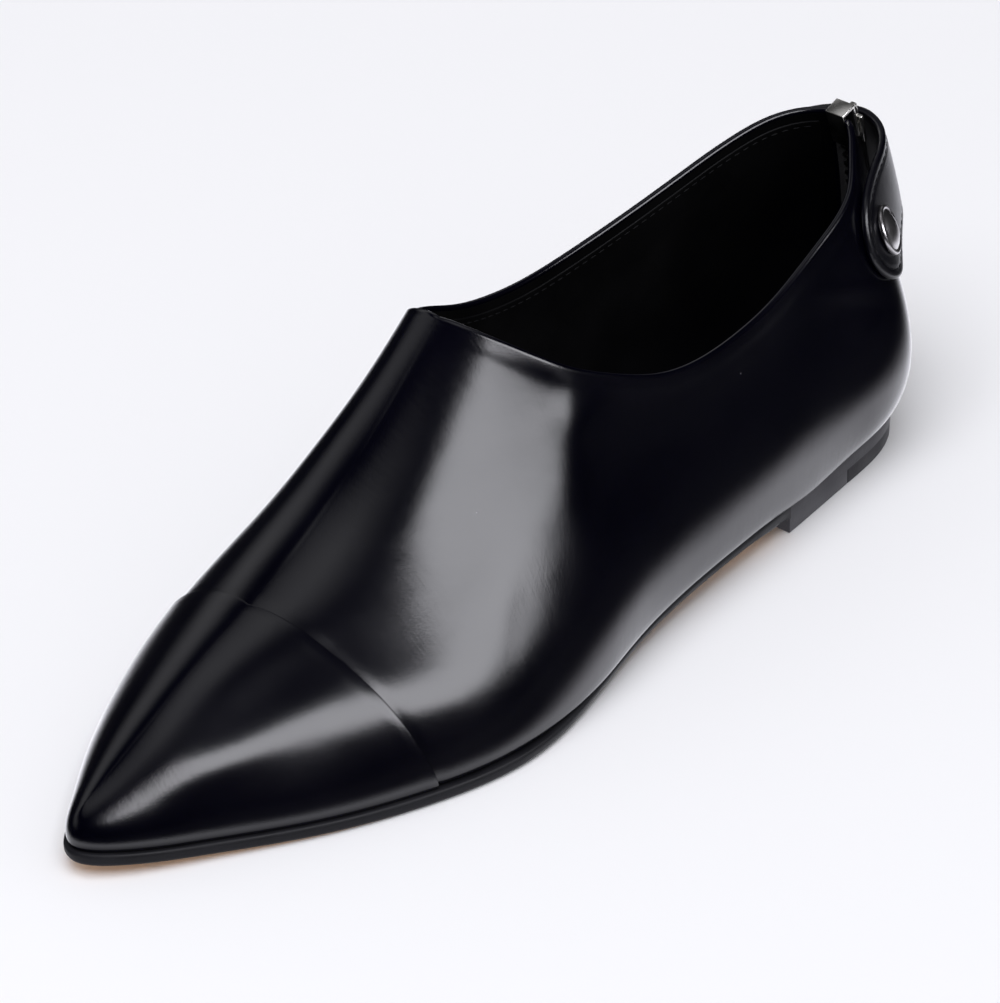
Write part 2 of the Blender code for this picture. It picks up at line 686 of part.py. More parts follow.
def build_snap(last):
    """Domed metal snap on the strap's outer end."""
    along = np.array([STRAP_REACH - SNAP_FROM_END])
    up = last.up_at_height(along, strap_middle(along))
    seat, out = last.point(along, up)[0], last.normal(along, up)[0]
    seat = seat + out * (float(strap_standoff(along)[0]) + STRAP_THICKNESS + FIT_GAP)
    first = np.cross(out, [0.0, 0.0, 1.0])
    first /= np.linalg.norm(first)
    second = np.cross(out, first)
    points = [seat]
    for ring in range(SNAP_RINGS + 1):
        angle = ring / SNAP_RINGS * math.pi / 2.0
        radius = SNAP_RADIUS * math.cos(angle)
        height = SNAP_HEIGHT * math.sin(angle)
        if ring == SNAP_RINGS:
            points.append(seat + out * SNAP_HEIGHT)
            break
        for i in range(SNAP_SIDES):
            around = 2.0 * math.pi * i / SNAP_SIDES
            spoke = first * math.cos(around) + second * math.sin(around)
            points.append(seat + out * height + spoke * radius)
    faces = []
    for i in range(SNAP_SIDES):
        j = (i + 1) % SNAP_SIDES
        faces.append((0, 1 + j, 1 + i))
        for ring in range(SNAP_RINGS - 1):
            a, b = 1 + ring * SNAP_SIDES, 1 + (ring + 1) * SNAP_SIDES
            faces.append((a + i, a + j, b + j, b + i))
        top = 1 + (SNAP_RINGS - 1) * SNAP_SIDES
        faces.append((top + i, top + j, len(points) - 1))
    make_object("snap_cap", "snap_metal", points, faces)


def centre_on_origin():
    """Hangs every piece on one empty, moved so that the middle of the shoe's box is at x = y = 0."""
    pieces = [item for item in bpy.context.scene.objects if item.type == "MESH"]
    corners = np.array([item.location[:] for item in pieces for _ in item.data.vertices])
    corners += np.array([v.co[:] for item in pieces for v in item.data.vertices])
    middle = (corners.min(axis=0) + corners.max(axis=0)) / 2.0
    root = bpy.data.objects.new("shoe", None)
    root.location = (-middle[0], -middle[1], 0.0)
    bpy.context.scene.collection.objects.link(root)
    for item in pieces:
        item.parent = root


def main():
    """Builds the shoe in an empty scene."""
    for item in list(bpy.data.objects):
        bpy.data.objects.remove(item)
    last = Last()
    build_sole(last)
    build_upper(UpperGrid(last))
    slider = slider_frame(last)
    build_zip_chain(last)
    build_slider(slider)
    build_pull(pull_frame(last, slider))
    build_strap(last)
    build_snap(last)
    centre_on_origin()


main()
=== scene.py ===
"""Looks of a pointed flat shoe for the left foot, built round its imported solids.

Sizes are in millimetres in the frame of the last: x from the back of the heel to the toe, y to the
outer side of the foot, z up from the floor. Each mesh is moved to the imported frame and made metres.
"""
import json
import logging
import math
from dataclasses import dataclass, field
from enum import Enum, IntEnum
from typing import Callable, Iterable, NamedTuple, Sequence

import bmesh
import bpy
import numpy as np
from mathutils import Matrix, Quaternion, Vector

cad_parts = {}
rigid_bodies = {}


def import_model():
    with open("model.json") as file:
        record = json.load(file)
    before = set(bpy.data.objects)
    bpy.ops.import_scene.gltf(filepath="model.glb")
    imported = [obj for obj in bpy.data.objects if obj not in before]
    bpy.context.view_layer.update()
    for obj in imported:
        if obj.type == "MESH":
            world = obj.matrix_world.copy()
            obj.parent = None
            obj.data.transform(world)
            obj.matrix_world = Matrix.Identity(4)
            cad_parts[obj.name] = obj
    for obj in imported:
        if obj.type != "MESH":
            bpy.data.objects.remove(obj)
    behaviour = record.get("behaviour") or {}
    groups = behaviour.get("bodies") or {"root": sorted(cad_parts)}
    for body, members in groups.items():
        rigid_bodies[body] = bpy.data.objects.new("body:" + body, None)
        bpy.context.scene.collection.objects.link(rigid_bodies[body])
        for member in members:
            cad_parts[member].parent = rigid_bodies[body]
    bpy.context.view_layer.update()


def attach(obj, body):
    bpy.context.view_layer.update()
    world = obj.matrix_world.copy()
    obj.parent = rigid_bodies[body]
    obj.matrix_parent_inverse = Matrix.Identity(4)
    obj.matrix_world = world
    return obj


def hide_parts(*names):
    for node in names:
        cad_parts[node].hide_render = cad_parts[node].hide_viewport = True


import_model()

LOG = logging.getLogger("flat_shoe")
Array = np.ndarray
Face = tuple[int, ...]
Pair = tuple[float, float]
Colour = tuple[float, float, float]
Tree = bpy.types.NodeTree
Node = bpy.types.Node
Socket = bpy.types.NodeSocket
Material = bpy.types.Material

MM = 0.001
LAST_TO_FRAME = np.array([128.579, 1.609, 0.0])
BISECTIONS = 36
MERGE_DISTANCE = 1e-7
SHARP_DEG = 50.0
BEVEL_SEGMENTS = 3

# Places of the factor and the two values among a mix node's inputs, and of the result among its outputs
MIX_NUMBERS = (0, 2, 3)
MIX_COLOURS = (0, 6, 7)
MIXED_NUMBER = 0
MIXED_COLOUR = 2


class Side(IntEnum):
    """Side of the foot, as the sign of y."""

    OUTER = 1
    INNER = -1


class Body(Enum):
    """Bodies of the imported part."""

    SHOE = "shoe"
    PULL = "pull"


class Slot(Enum):
    """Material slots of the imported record."""

    LEATHER = "black_leather"
    SOLE = "sole_leather"
    HEEL = "heel_leather"
    RUBBER = "heel_rubber"
    INSOLE = "insole_leather"
    TAPE = "zip_tape"
    SNAP = "snap_metal"
    SLIDER = "slider_metal"


class Section(NamedTuple):
    """One cross section of the last.

    turn is the way the wall faces: 90 straight back, 0 sideways, -90 straight ahead. The foot is where
    the wall meets the sole. flare and side_up lead the curve off its foot, crown and crown_drop into
    the ridge, which lies above the collar behind the throat.
    """

    turn: float
    foot_x: float
    foot_out: float
    foot_in: float
    flare_out: float
    flare_in: float
    side_up: float
    crown_out: float
    crown_in: float
    crown_drop: float
    ridge_x: float
    ridge_y: float
    ridge_z: float


SECTIONS: dict[str, Section] = {
    "back": Section(90, 4.0, 0.0, 0.0, 19.0, 19.0, 26, 16.0, 16.0, 0.0, 29.0, 0.0, 105.0),
    "round": Section(58, 9.5, 14.7, 15.1, 17.0, 16.0, 26, 4.0, 13.0, 0.0, 32.0, 0.0, 105.0),
    "heel": Section(28, 21.0, 25.2, 19.9, 21.5, 10.5, 26, -6.0, 12.5, 0.0, 36.0, 0.5, 105.0),
    "seat": Section(8, 40.0, 29.2, 20.1, 8.0, 12.0, 26, 3.0, 13.5, 0.0, 45.0, 0.5, 106.0),
    "breast": Section(0, 67.0, 31.6, 20.4, 1.5, 17.0, 26, 11.5, 14.8, 0.0, 68.0, 0.0, 107.0),
    "waist": Section(0, 98.0, 33.4, 19.4, 0.0, 19.0, 26, 16.5, 17.5, 0.0, 98.0, -2.0, 107.0),
    "instep": Section(0, 126.0, 35.6, 22.0, 0.0, 15.0, 24, 16.2, 16.2, 0.0, 126.0, -5.0, 99.5),
    "throat": Section(0, 150.0, 40.2, 28.8, 0.4, 10.5, 22, 16.6, 16.6, 0.0, 143.9, -6.0, 80.6),
    "ball": Section(0, 175.0, 42.3, 36.6, 1.2, 7.2, 18, 18.4, 18.4, 0.0, 173.0, -7.5, 54.4),
    "cap": Section(0, 200.0, 35.7, 39.0, 1.8, 5.0, 14, 17.8, 17.8, 0.0, 198.0, -6.8, 41.4),
    "toe": Section(0, 224.0, 24.3, 33.2, 1.4, 2.2, 10, 13.4, 13.4, 0.0, 222.0, -5.6, 33.6),
    "point": Section(-8, 244.0, 11.9, 22.9, 1.0, 1.2, 8, 8.0, 8.0, 0.3, 241.0, -5.6, 25.2),
    "nose": Section(-34, 257.0, 3.1, 14.2, 0.8, 0.8, 6, 4.6, 4.6, 1.2, 253.0, -6.4, 18.6),
    "tip": Section(-90, 264.5, -7.2, 7.2, 0.4, 0.4, 4.5, 3.4, 3.4, 2.0, 259.5, -7.0, 15.2),
}

# Collar: place along the shoe, and height over the floor on the outer and inner side
COLLAR: tuple[tuple[float, float, float], ...] = (
    (4.0, 72.6, 72.6),
    (20.0, 68.5, 70.1),
    (45.0, 59.9, 64.7),
    (60.0, 56.4, 61.3),
    (75.0, 55.3, 58.8),
    (90.0, 55.5, 57.9),
    (105.0, 58.2, 59.8),
    (118.0, 63.6, 64.0),
    (130.0, 70.2, 69.9),
    (139.5, 77.3, 75.6),
    (143.9, 80.6, 80.6),
)


def smooth_step(x: Array | float, start: float, end: float) -> Array:
    """Rises from 0 at start to 1 at end with level ends.

    Args:
        x: places to read.
        start: place of 0.
        end: place of 1.

    Returns:
        Values from 0 to 1.
    """
    t = np.clip((np.asarray(x, float) - start) / (end - start), 0.0, 1.0)
    return t * t * (3.0 - 2.0 * t)


def between(x: Array | float, rise: Pair, fall: Pair) -> Array:
    """Rises from 0 to 1 over one stretch and falls back to 0 over another."""
    return smooth_step(x, *rise) * (1.0 - smooth_step(x, *fall))


def bisect(shape: tuple[int, ...], too_small: Callable[[Array], Array]) -> Array:
    """Numbers from 0 to 1 at which a test turns from True to False.

    Args:
        shape: shape of the wanted array.
        too_small: True where a number lies below the wanted one.

    Returns:
        The numbers.
    """
    low = np.zeros(shape)
    high = np.ones(shape)
    for _ in range(BISECTIONS):
        middle = (low + high) / 2.0
        small = too_small(middle)
        low = np.where(small, middle, low)
        high = np.where(small, high, middle)
    return (low + high) / 2.0


def unit(vectors: Array) -> Array:
    """Vectors scaled to length 1 along the last axis."""
    return vectors / np.linalg.norm(vectors, axis=-1, keepdims=True)


class Spline:
    """Natural cubic spline through rows of values."""

    def __init__(self, knots: Array, rows: Array) -> None:
        """Solves the spline's bends.

        Args:
            knots: rising places of the rows.
            rows: values at each knot.
        """
        self.knots = np.asarray(knots, float)
        self.rows = np.asarray(rows, float).reshape(len(self.knots), -1)
        self.steps = np.diff(self.knots)
        count = len(self.knots)
        matrix = np.eye(count)
        right = np.zeros_like(self.rows)
        for i in range(1, count - 1):
            before, after = self.steps[i - 1], self.steps[i]
            matrix[i, i - 1:i + 2] = before, 2.0 * (before + after), after
            rise = (self.rows[i + 1] - self.rows[i]) / after - (self.rows[i] - self.rows[i - 1]) / before
            right[i] = 6.0 * rise
        self.bends = np.linalg.solve(matrix, right)

    def at(self, places: Array) -> Array:
        """Values at each place.

        Args:
            places: places along the knots.

        Returns:
            A row of values for each place.
        """
        places = np.clip(np.atleast_1d(np.asarray(places, float)), self.knots[0], self.knots[-1])
        i = np.clip(np.searchsorted(self.knots, places, side="right") - 1, 0, len(self.steps) - 1)
        step = self.steps[i][:, None]
        a = (self.knots[i + 1] - places)[:, None] / step
        b = 1.0 - a
        bend = (a ** 3 - a) * self.bends[i] + (b ** 3 - b) * self.bends[i + 1]
        return a * self.rows[i] + b * self.rows[i + 1] + bend * step ** 2 / 6.0


@dataclass(frozen=True)
class SoleLine:
    """Heights of the sole along the shoe."""

    gap: float = 0.3
    heel_height: float = 3.9
    heel_thickness: float = 4.3
    tread_thickness: float = 3.2
    thins_from_x: float = 20.0
    seat_rise: float = 0.8
    waist_start_x: float = 88.0
    tread_start_x: float = 170.0
    tread_end_x: float = 200.0
    toe_spring: float = 3.0

    def underside(self, x: Array) -> Array:
        """Height of the outsole's underside: level over the heel, down to the tread, up at the toe.

        Args:
            x: places along the shoe.

        Returns:
            A height for each place.
        """
        x = np.asarray(x, float)
        arch = (self.heel_height + self.gap) * (1.0 - smooth_step(x, self.waist_start_x, self.tread_start_x))
        tip_x = SECTIONS["tip"].foot_x
        ahead = np.clip((x - self.tread_end_x) / (tip_x - self.tread_end_x), 0.0, None)
        return arch + self.toe_spring * ahead ** 2

    def top(self, x: Array) -> Array:
        """Height of the outsole's upper face, which rises a little at the back of the seat.

        Args:
            x: places along the shoe.

        Returns:
            A height for each place.
        """
        x = np.asarray(x, float)
        thinning = smooth_step(x, self.thins_from_x, self.tread_start_x)
        thickness = self.heel_thickness + (self.tread_thickness - self.heel_thickness) * thinning
        behind = np.clip(1.0 - x / self.thins_from_x, 0.0, None)
        return self.underside(x) + thickness + self.seat_rise * behind ** 2

    def foot(self, x: Array) -> Array:
        """Height of the upper's foot over the floor."""
        return self.top(x) + self.gap


class Last:
    """Outside of the upper as a surface of two numbers.

    along: distance along the foot line from the back of the heel, positive on the outer side.
    up: 0 at the foot of the wall, 1 at the ridge.
    """

    WRAP = 4
    UP_LIMITS = (0.01, 0.97)
    STEP_ALONG = 0.2
    STEP_UP = 0.005
    CAP_FOOT_X = {Side.OUTER: 197.0, Side.INNER: 198.5}
    CAP_TOP_X = 208.0
    RIDGE_RUN = 1.15

    def __init__(self, sole: SoleLine) -> None:
        """Strings the ribs together round the foot.

        Args:
            sole: heights that the ribs stand on.
        """
        self.sole = sole
        names = list(SECTIONS)
        ribs = [self.rib(name, Side.INNER) for name in reversed(names)]
        ribs += [self.rib(name, Side.OUTER) for name in names[1:-1]]
        feet = np.array([rib[0] for rib in ribs + ribs[:1]])
        lengths = np.linalg.norm(np.diff(feet, axis=0), axis=1)
        chain = np.concatenate([[0.0], np.cumsum(lengths)])
        chain -= chain[len(names) - 1]
        around = chain[-1] - chain[0]
        chain = chain[:-1]
        wrap = self.WRAP
        knots = np.concatenate([chain[-wrap:] - around, chain, chain[:wrap] + around])
        self.ribs = Spline(knots, np.array(ribs[-wrap:] + ribs + ribs[:wrap]))
        places = np.append(chain, chain[0] + around)
        self.place: dict[tuple[str, Side], float] = {}
        for i, name in enumerate(names):
            self.place[name, Side.INNER] = float(chain[len(names) - 1 - i])
            self.place[name, Side.OUTER] = float(places[len(names) - 1 + i])
        columns = np.array(COLLAR)
        self.collar = Spline(columns[:, 0], columns[:, 1:])

    def rib(self, name: str, side: Side) -> Array:
        """Four control points of one half section.

        Args:
            name: section.
            side: side of the foot.

        Returns:
            Points of shape (4, 3), from the foot to the ridge.
        """
        row = SECTIONS[name]
        turn = math.radians(row.turn)
        outward = np.array([-math.sin(turn), side * math.cos(turn), 0.0])
        outer = side == Side.OUTER
        foot_y = row.foot_out if outer else -row.foot_in
        foot = np.array([row.foot_x, foot_y, float(self.sole.foot(row.foot_x))])
        ridge = np.array([row.ridge_x, row.ridge_y, row.ridge_z])
        flare = row.flare_out if outer else row.flare_in
        crown = row.crown_out if outer else row.crown_in
        low = foot + outward * flare + np.array([0.0, 0.0, row.side_up])
        high = ridge + outward * crown - np.array([0.0, 0.0, row.crown_drop])
        return np.stack([foot, low, high, ridge])

    def point(self, along: Array | float, up: Array | float) -> Array:
        """Points of the surface.

        Args:
            along: places along the foot line.
            up: height numbers.

        Returns:
            Points in the shape of the two numbers, with a last axis of 3.
        """
        along, up = np.broadcast_arrays(np.asarray(along, float), np.asarray(up, float))
        ribs = self.ribs.at(along.ravel()).reshape(-1, 4, 3)
        t = up.ravel()[:, None]
        s = 1.0 - t
        weights = np.concatenate([s ** 3, 3.0 * s * s * t, 3.0 * s * t * t, t ** 3], axis=1)
        return np.einsum("ij,ijk->ik", weights, ribs).reshape(along.shape + (3,))

    def normal(self, along: Array, up: Array) -> Array:
        """Unit outward normals. At the foot and the ridge they are read a little inside the surface.

        Args:
            along: places along the foot line.
            up: height numbers.

        Returns:
            Normals in the shape of the two numbers, with a last axis of 3.
        """
        up = np.clip(up, *self.UP_LIMITS)
        across = self.point(along + self.STEP_ALONG, up) - self.point(along - self.STEP_ALONG, up)
        rising = self.point(along, up + self.STEP_UP) - self.point(along, up - self.STEP_UP)
        return unit(np.cross(rising, across))

    def throat_along(self, side: Side, lower: float) -> float:
        """Place where a line below the collar meets the ridge, further forward the lower it runs."""
        return abs(self.place["throat", side]) + self.RIDGE_RUN * lower

    def collar_up(self, along: Array, lower: float = 0.0) -> Array:
        """Height numbers at which the collar cuts the ribs.

        Args:
            along: places along the foot line.
            lower: distance below the collar.

        Returns:
            A height number for each place.
        """
        along = np.asarray(along, float)
        column = np.where(along >= 0.0, 0, 1)

        def below(up: Array) -> Array:
            """Whether the ribs are still below the line.

            Args:
                up: height numbers.

            Returns:
                An answer for each place.
            """
            points = self.point(along, up)
            heights = self.collar.at(points[:, 0])[np.arange(len(along)), column]
            return points[:, 2] < heights - lower

        return bisect(along.shape, below)

    def up_at_height(self, along: Array, height: Array) -> Array:
        """Height numbers at which the ribs reach heights over the floor."""
        along, height = np.broadcast_arrays(np.asarray(along, float), np.asarray(height, float))
        return bisect(along.shape, lambda up: self.point(along, up)[..., 2] < height)

    def cap_along(self, side: Side, up: Array) -> Array:
        """Places of the toe cap's rear edge on one side.

        Args:
            side: side of the foot.
            up: height numbers.

        Returns:
            A place for each height number.
        """
        start, end = self.place["throat", side], self.place["tip", side]
        foot_x = self.CAP_FOOT_X[side]
        edge_x = foot_x + (self.CAP_TOP_X - foot_x) * up

        def behind(share: Array) -> Array:
            """Whether places are still behind the edge."""
            return self.point(start + (end - start) * share, up)[..., 0] < edge_x

        return start + (end - start) * bisect(up.shape, behind)


class MeshMaker:
    """Collects corners and faces of one piece, with a leather coordinate at each corner."""

    def __init__(self) -> None:
        """Starts empty."""
        self.points: list[Array] = []
        self.leather: list[Array] = []
        self.faces: list[Face] = []
        self.finishes: list[int] = []
        self.count = 0

    def add(self, points: Array, faces: Iterable[Sequence[int]], finish: int = 0,
            leather: Array | None = None) -> None:
        """Adds corners and faces.

        Args:
            points: corners, of shape (n, 3), in millimetres.
            faces: corner numbers of each face, counted from the first of these points.
            finish: number of the faces' material.
            leather: leather coordinates of the corners, or None for their plan place.
        """
        points = np.asarray(points, float).reshape(-1, 3)
        self.points.append(points)
        self.leather.append(points[:, :2] if leather is None else np.asarray(leather, float).reshape(-1, 2))
        self.count += len(points)
        self.add_faces(faces, finish, self.count - len(points))

    def add_faces(self, faces: Iterable[Sequence[int]], finish: int, first: int) -> None:
        """Adds faces between corners that are there already.

        Args:
            faces: corner numbers of each face.
            finish: number of the faces' material.
            first: number of the corner that they are counted from.
        """
        for face in faces:
            self.faces.append(tuple(int(i) + first for i in face))
            self.finishes.append(finish)

    def make(self, name: str, materials: Sequence[Material], bevel: float = 0.0) -> bpy.types.Object:
        """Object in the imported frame.

        Args:
            name: name of the piece.
            materials: materials in the order of their numbers.
            bevel: width of a round on all sharp edges, in millimetres.

        Returns:
            The object, linked to the scene.
        """
        mesh = bpy.data.meshes.new(name)
        points = (np.concatenate(self.points) - LAST_TO_FRAME) * MM
        mesh.from_pydata(points.tolist(), [], self.faces)
        mesh.polygons.foreach_set("material_index", self.finishes)
        layer = mesh.attributes.new("leather_mm", "FLOAT_VECTOR", "POINT")
        flat = np.concatenate(self.leather)
        layer.data.foreach_set("vector", np.column_stack([flat, np.zeros(len(flat))]).ravel())
        clean = bmesh.new()
        clean.from_mesh(mesh)
        loose = [corner for corner in clean.verts if not corner.link_faces]
        bmesh.ops.delete(clean, geom=loose, context="VERTS")
        bmesh.ops.remove_doubles(clean, verts=clean.verts, dist=MERGE_DISTANCE)
        bmesh.ops.recalc_face_normals(clean, faces=clean.faces)
        sharp = math.radians(SHARP_DEG)
        if bevel > 0.0:
            edges = [e for e in clean.edges if e.is_manifold and e.calc_face_angle() > sharp]
            bmesh.ops.bevel(clean, geom=edges, offset=bevel * MM, segments=BEVEL_SEGMENTS, profile=0.5,
                            affect="EDGES")
        clean.to_mesh(mesh)
        clean.free()
        mesh.shade_smooth()
        mesh.set_sharp_from_angle(angle=sharp)
        for made in materials:
            mesh.materials.append(made)
        piece = bpy.data.objects.new(name, mesh)
        bpy.context.scene.collection.objects.link(piece)
        return piece


def grid_faces(columns: int, rows: int, close: bool = False) -> list[Face]:
    """Quads of a grid numbered column by column.

    Args:
        columns: number of columns.
        rows: number of rows.
        close: whether the last column joins the first.

    Returns:
        The faces.
    """
    faces = []
    for i in range(columns if close else columns - 1):
        here, there = i * rows, (i + 1) % columns * rows
        for j in range(rows - 1):
            faces.append((here + j, here + j + 1, there + j + 1, there + j))
    return faces


def boundary_loops(faces: Iterable[Face]) -> list[list[int]]:
    """Closed loops of the edges that only one face uses.

    Args:
        faces: faces of a sheet, all turned the same way.

    Returns:
        Corner numbers of each loop, in the order of the faces' own edges.
    """
    edges = {(a, b) for face in faces for a, b in zip(face, face[1:] + face[:1])}
    following = {a: b for a, b in edges if (b, a) not in edges}
    loops = []
    while following:
        start, current = following.popitem()
        loop = [start]
        while current != start:
            loop.append(current)
            current = following.pop(current)
        loops.append(loop)
    return loops


@dataclass
class Sheet:
    """Sheet of leather: corners, outward normals, faces and leather coordinates."""

    points: Array
    normals: Array
    faces: list[Face]
    leather: Array

    @classmethod
    def from_grid(cls, points: Array, normals: Array, leather: Array) -> "Sheet":
        """Sheet from columns and rows of points.

        Args:
            points: corners, of shape (columns, rows, 3).
            normals: their outward normals.
            leather: their leather coordinates.

        Returns:
            The sheet.
        """
        faces = grid_faces(*points.shape[:2])
        return cls(points.reshape(-1, 3), normals.reshape(-1, 3), faces, leather.reshape(-1, 2))

    def rolled(self, maker: MeshMaker, thickness: float, steps: int, outside: int = 0, inside: int = 0,
               flat: Callable[[Array], bool] = lambda loop: False) -> None:
        """Adds the sheet as a wall whose open edges are rolled over.

        Args:
            maker: collects the wall.
            thickness: thickness of the wall, inwards from the sheet.
            steps: faces round a rolled edge.
            outside: material number of the outside and the rolls.
            inside: material number of the inside.
            flat: tells from a loop's points whether that edge is cut flat.
        """
        count = len(self.points)
        inner = self.points - self.normals * thickness
        points, leather = [self.points, inner], [self.leather, self.leather]
        skin = list(self.faces)
        lining = [tuple(count + i for i in reversed(face)) for face in self.faces]
        total = 2 * count
        for loop in boundary_loops(self.faces):
            places = np.array(loop)
            edge, normal = self.points[places], self.normals[places]
            rows = [places]
            if not flat(edge):
                heading = np.roll(edge, -1, axis=0) - np.roll(edge, 1, axis=0)
                away = unit(np.cross(heading, normal))
                middle = edge - normal * thickness / 2.0
                for step in range(1, steps):
                    turn = math.pi * step / steps
                    roll = normal * math.cos(turn) + away * math.sin(turn)
                    points.append(middle + roll * thickness / 2.0)
                    leather.append(self.leather[places])
                    rows.append(total + np.arange(len(loop)))
                    total += len(loop)
            rows.append(places + count)
            for low, high in zip(rows, rows[1:]):
                for i in range(len(loop)):
                    j = (i + 1) % len(loop)
                    skin.append((int(low[j]), int(low[i]), int(high[i]), int(high[j])))
        first = maker.count
        maker.add(np.concatenate(points), skin, outside, np.concatenate(leather))
        maker.add_faces(lining, inside, first)


class UpperPattern:
    """Columns and rows of points over the last.

    Columns run from the tip along the inner side to the back and along the outer side to the tip. Rows
    run from the sole to the collar, and ahead of the throat to the ridge.
    """

    SLIT_COLUMNS = 5
    HEEL_COLUMNS = 60
    THROAT_COLUMNS = 24
    THROAT_REACH = 34.0
    VAMP_COLUMNS = 30
    CAP_COLUMNS = 46
    CAP_POWER = 1.5
    ROWS = 60
    ROW_CROWDING = 0.55
    LEATHER_HEIGHT = 80.0

    def __init__(self, last: Last, slit_half: float, collar_lower: float) -> None:
        """Lays the pattern over the last.

        Args:
            last: surface of the upper.
            slit_half: half width of the back slit.
            collar_lower: distance of the top row below the collar, for the rolled edge.
        """
        self.last = last
        self.slit_half = slit_half
        self.collar_lower = collar_lower
        inner_along, inner_up = self.side_columns(Side.INNER)
        outer_along, outer_up = self.side_columns(Side.OUTER)
        self.back = len(inner_along) - 1
        self.along = np.concatenate([inner_along[::-1], outer_along[1:-1]])
        self.up = np.concatenate([inner_up[::-1], outer_up[1:-1]])
        self.count = len(self.along)
        self.points = last.point(self.along, self.up)
        self.normals = last.normal(self.along, self.up)
        self.ids = np.arange(self.along.size).reshape(self.along.shape)
        self.join_ridge()
        lengths = np.linalg.norm(np.diff(self.points, axis=1), axis=2)
        self.above_foot = np.concatenate([np.zeros((self.count, 1)), np.cumsum(lengths, axis=1)], axis=1)
        self.below_top = self.above_foot[:, -1:] - self.above_foot
        self.leather = np.stack([np.abs(self.along), self.up * self.LEATHER_HEIGHT], axis=-1)

    def rows(self) -> Array:
        """Shares of the height, closer together at the sole and at the collar."""
        t = np.linspace(0.0, 1.0, self.ROWS + 1)
        return t - self.ROW_CROWDING * np.sin(2.0 * math.pi * t) / (2.0 * math.pi)

    def side_columns(self, side: Side) -> tuple[Array, Array]:
        """Surface numbers of one side's columns, from the back to the tip.

        Args:
            side: side of the foot.

        Returns:
            Places along the foot line and height numbers, columns by rows.
        """
        last = self.last
        rows = self.rows()
        throat = last.throat_along(side, self.collar_lower)
        slit = np.linspace(0.0, self.slit_half, self.SLIT_COLUMNS + 1)
        heel = np.linspace(self.slit_half, throat - self.THROAT_REACH, self.HEEL_COLUMNS + 1)[1:]
        left = 1.0 - np.arange(1, self.THROAT_COLUMNS + 1) / self.THROAT_COLUMNS
        foot = np.concatenate([slit, heel, throat - self.THROAT_REACH * left])
        top = np.concatenate([slit, heel, throat - self.THROAT_REACH * left ** 2])
        cut = last.collar_up(side * top, self.collar_lower)
        cut[-1] = 1.0
        along = side * (foot[:, None] + (top - foot)[:, None] * rows)
        up = cut[:, None] * rows
        cap = last.cap_along(side, rows)
        blend = (np.arange(1, self.VAMP_COLUMNS + 1) / self.VAMP_COLUMNS)[:, None]
        vamp = along[-1] + (cap - along[-1]) * blend
        reach = 1.0 - (1.0 - np.arange(1, self.CAP_COLUMNS + 1) / self.CAP_COLUMNS) ** self.CAP_POWER
        toe = cap + (last.place["tip", side] - cap) * reach[:, None]
        along = np.concatenate([along, vamp, toe])
        up = np.concatenate([up, np.broadcast_to(rows, vamp.shape), np.broadcast_to(rows, toe.shape)])
        return along, up

    def join_ridge(self) -> None:
        """Gives both sides one row of points along the ridge ahead of the throat."""
        for column in range(1, self.VAMP_COLUMNS + self.CAP_COLUMNS + 1):
            twin = self.count - column
            self.normals[column, -1] = unit(self.normals[column, -1] + self.normals[twin, -1])
            self.points[column, -1] = (self.points[column, -1] + self.points[twin, -1]) / 2.0
            self.ids[twin, -1] = self.ids[column, -1]
            self.normals[twin, -1] = self.normals[column, -1]
            self.points[twin, -1] = self.points[column, -1]

    def columns_behind_cap(self) -> Array:
        """Columns counted back from the cap's edge.

        Returns:
            One number per column, negative under the cap.
        """
        number = np.arange(self.count)
        from_tip = np.minimum(number, self.count - number)
        return (from_tip - self.CAP_COLUMNS)[:, None]

    def back_slit(self, first_row: int) -> Callable[[int, int], bool]:
        """Test, from a column and a row, for the quads that the slit up the back leaves out."""
        half = self.SLIT_COLUMNS
        return lambda column, row: row >= first_row and -half <= column - self.back < half

    def faces(self, first: int, last: int,
              skip: Callable[[int, int], bool] = lambda column, row: False) -> list[Face]:
        """Quads between two columns.

        Args:
            first: first column; columns are counted round the tip where they are negative.
            last: last column.
            skip: tells from a column and a row whether a quad is left out.

        Returns:
            The faces.
        """
        quads = []
        for column in range(first, last):
            here, there = self.ids[column % self.count], self.ids[(column + 1) % self.count]
            for row in range(self.ROWS):
                if not skip(column, row):
                    corners = here[row], here[row + 1], there[row + 1], there[row]
                    quads.append(tuple(int(i) for i in corners))
        return quads

    def sheet(self, offset: Array | float, faces: list[Face]) -> Sheet:
        """Sheet over the last.

        Args:
            offset: distance of the sheet from the last, in the pattern's shape or one number.
            faces: faces of the sheet.

        Returns:
            The sheet.
        """
        offset = np.broadcast_to(offset, self.along.shape)
        points = self.points + self.normals * offset[..., None]
        return Sheet(points.reshape(-1, 3), self.normals.reshape(-1, 3), faces, self.leather.reshape(-1, 2))


@dataclass(frozen=True)
class Crease:
    """Soft trough or ridge between two places of the upper, each given along the foot line and in height."""

    FADE_LIMITS = (0.02, 0.98)

    start: Pair
    end: Pair
    width: float
    height: float

    def relief(self, along: Array, z: Array) -> Array:
        """Height of the crease at places of the upper.

        Args:
            along: places along the foot line.
            z: heights over the floor.

        Returns:
            Distances out from the surface.
        """
        start, end = np.array(self.start), np.array(self.end)
        line = end - start
        share = ((along - start[0]) * line[0] + (z - start[1]) * line[1]) / (line @ line)
        held = np.clip(share, 0.0, 1.0)
        away = np.hypot(along - start[0] - held * line[0], z - start[1] - held * line[1])
        fade = np.sqrt(np.sin(math.pi * np.clip(share, *self.FADE_LIMITS)))
        return self.height * fade * np.exp(-(away / self.width) ** 2)


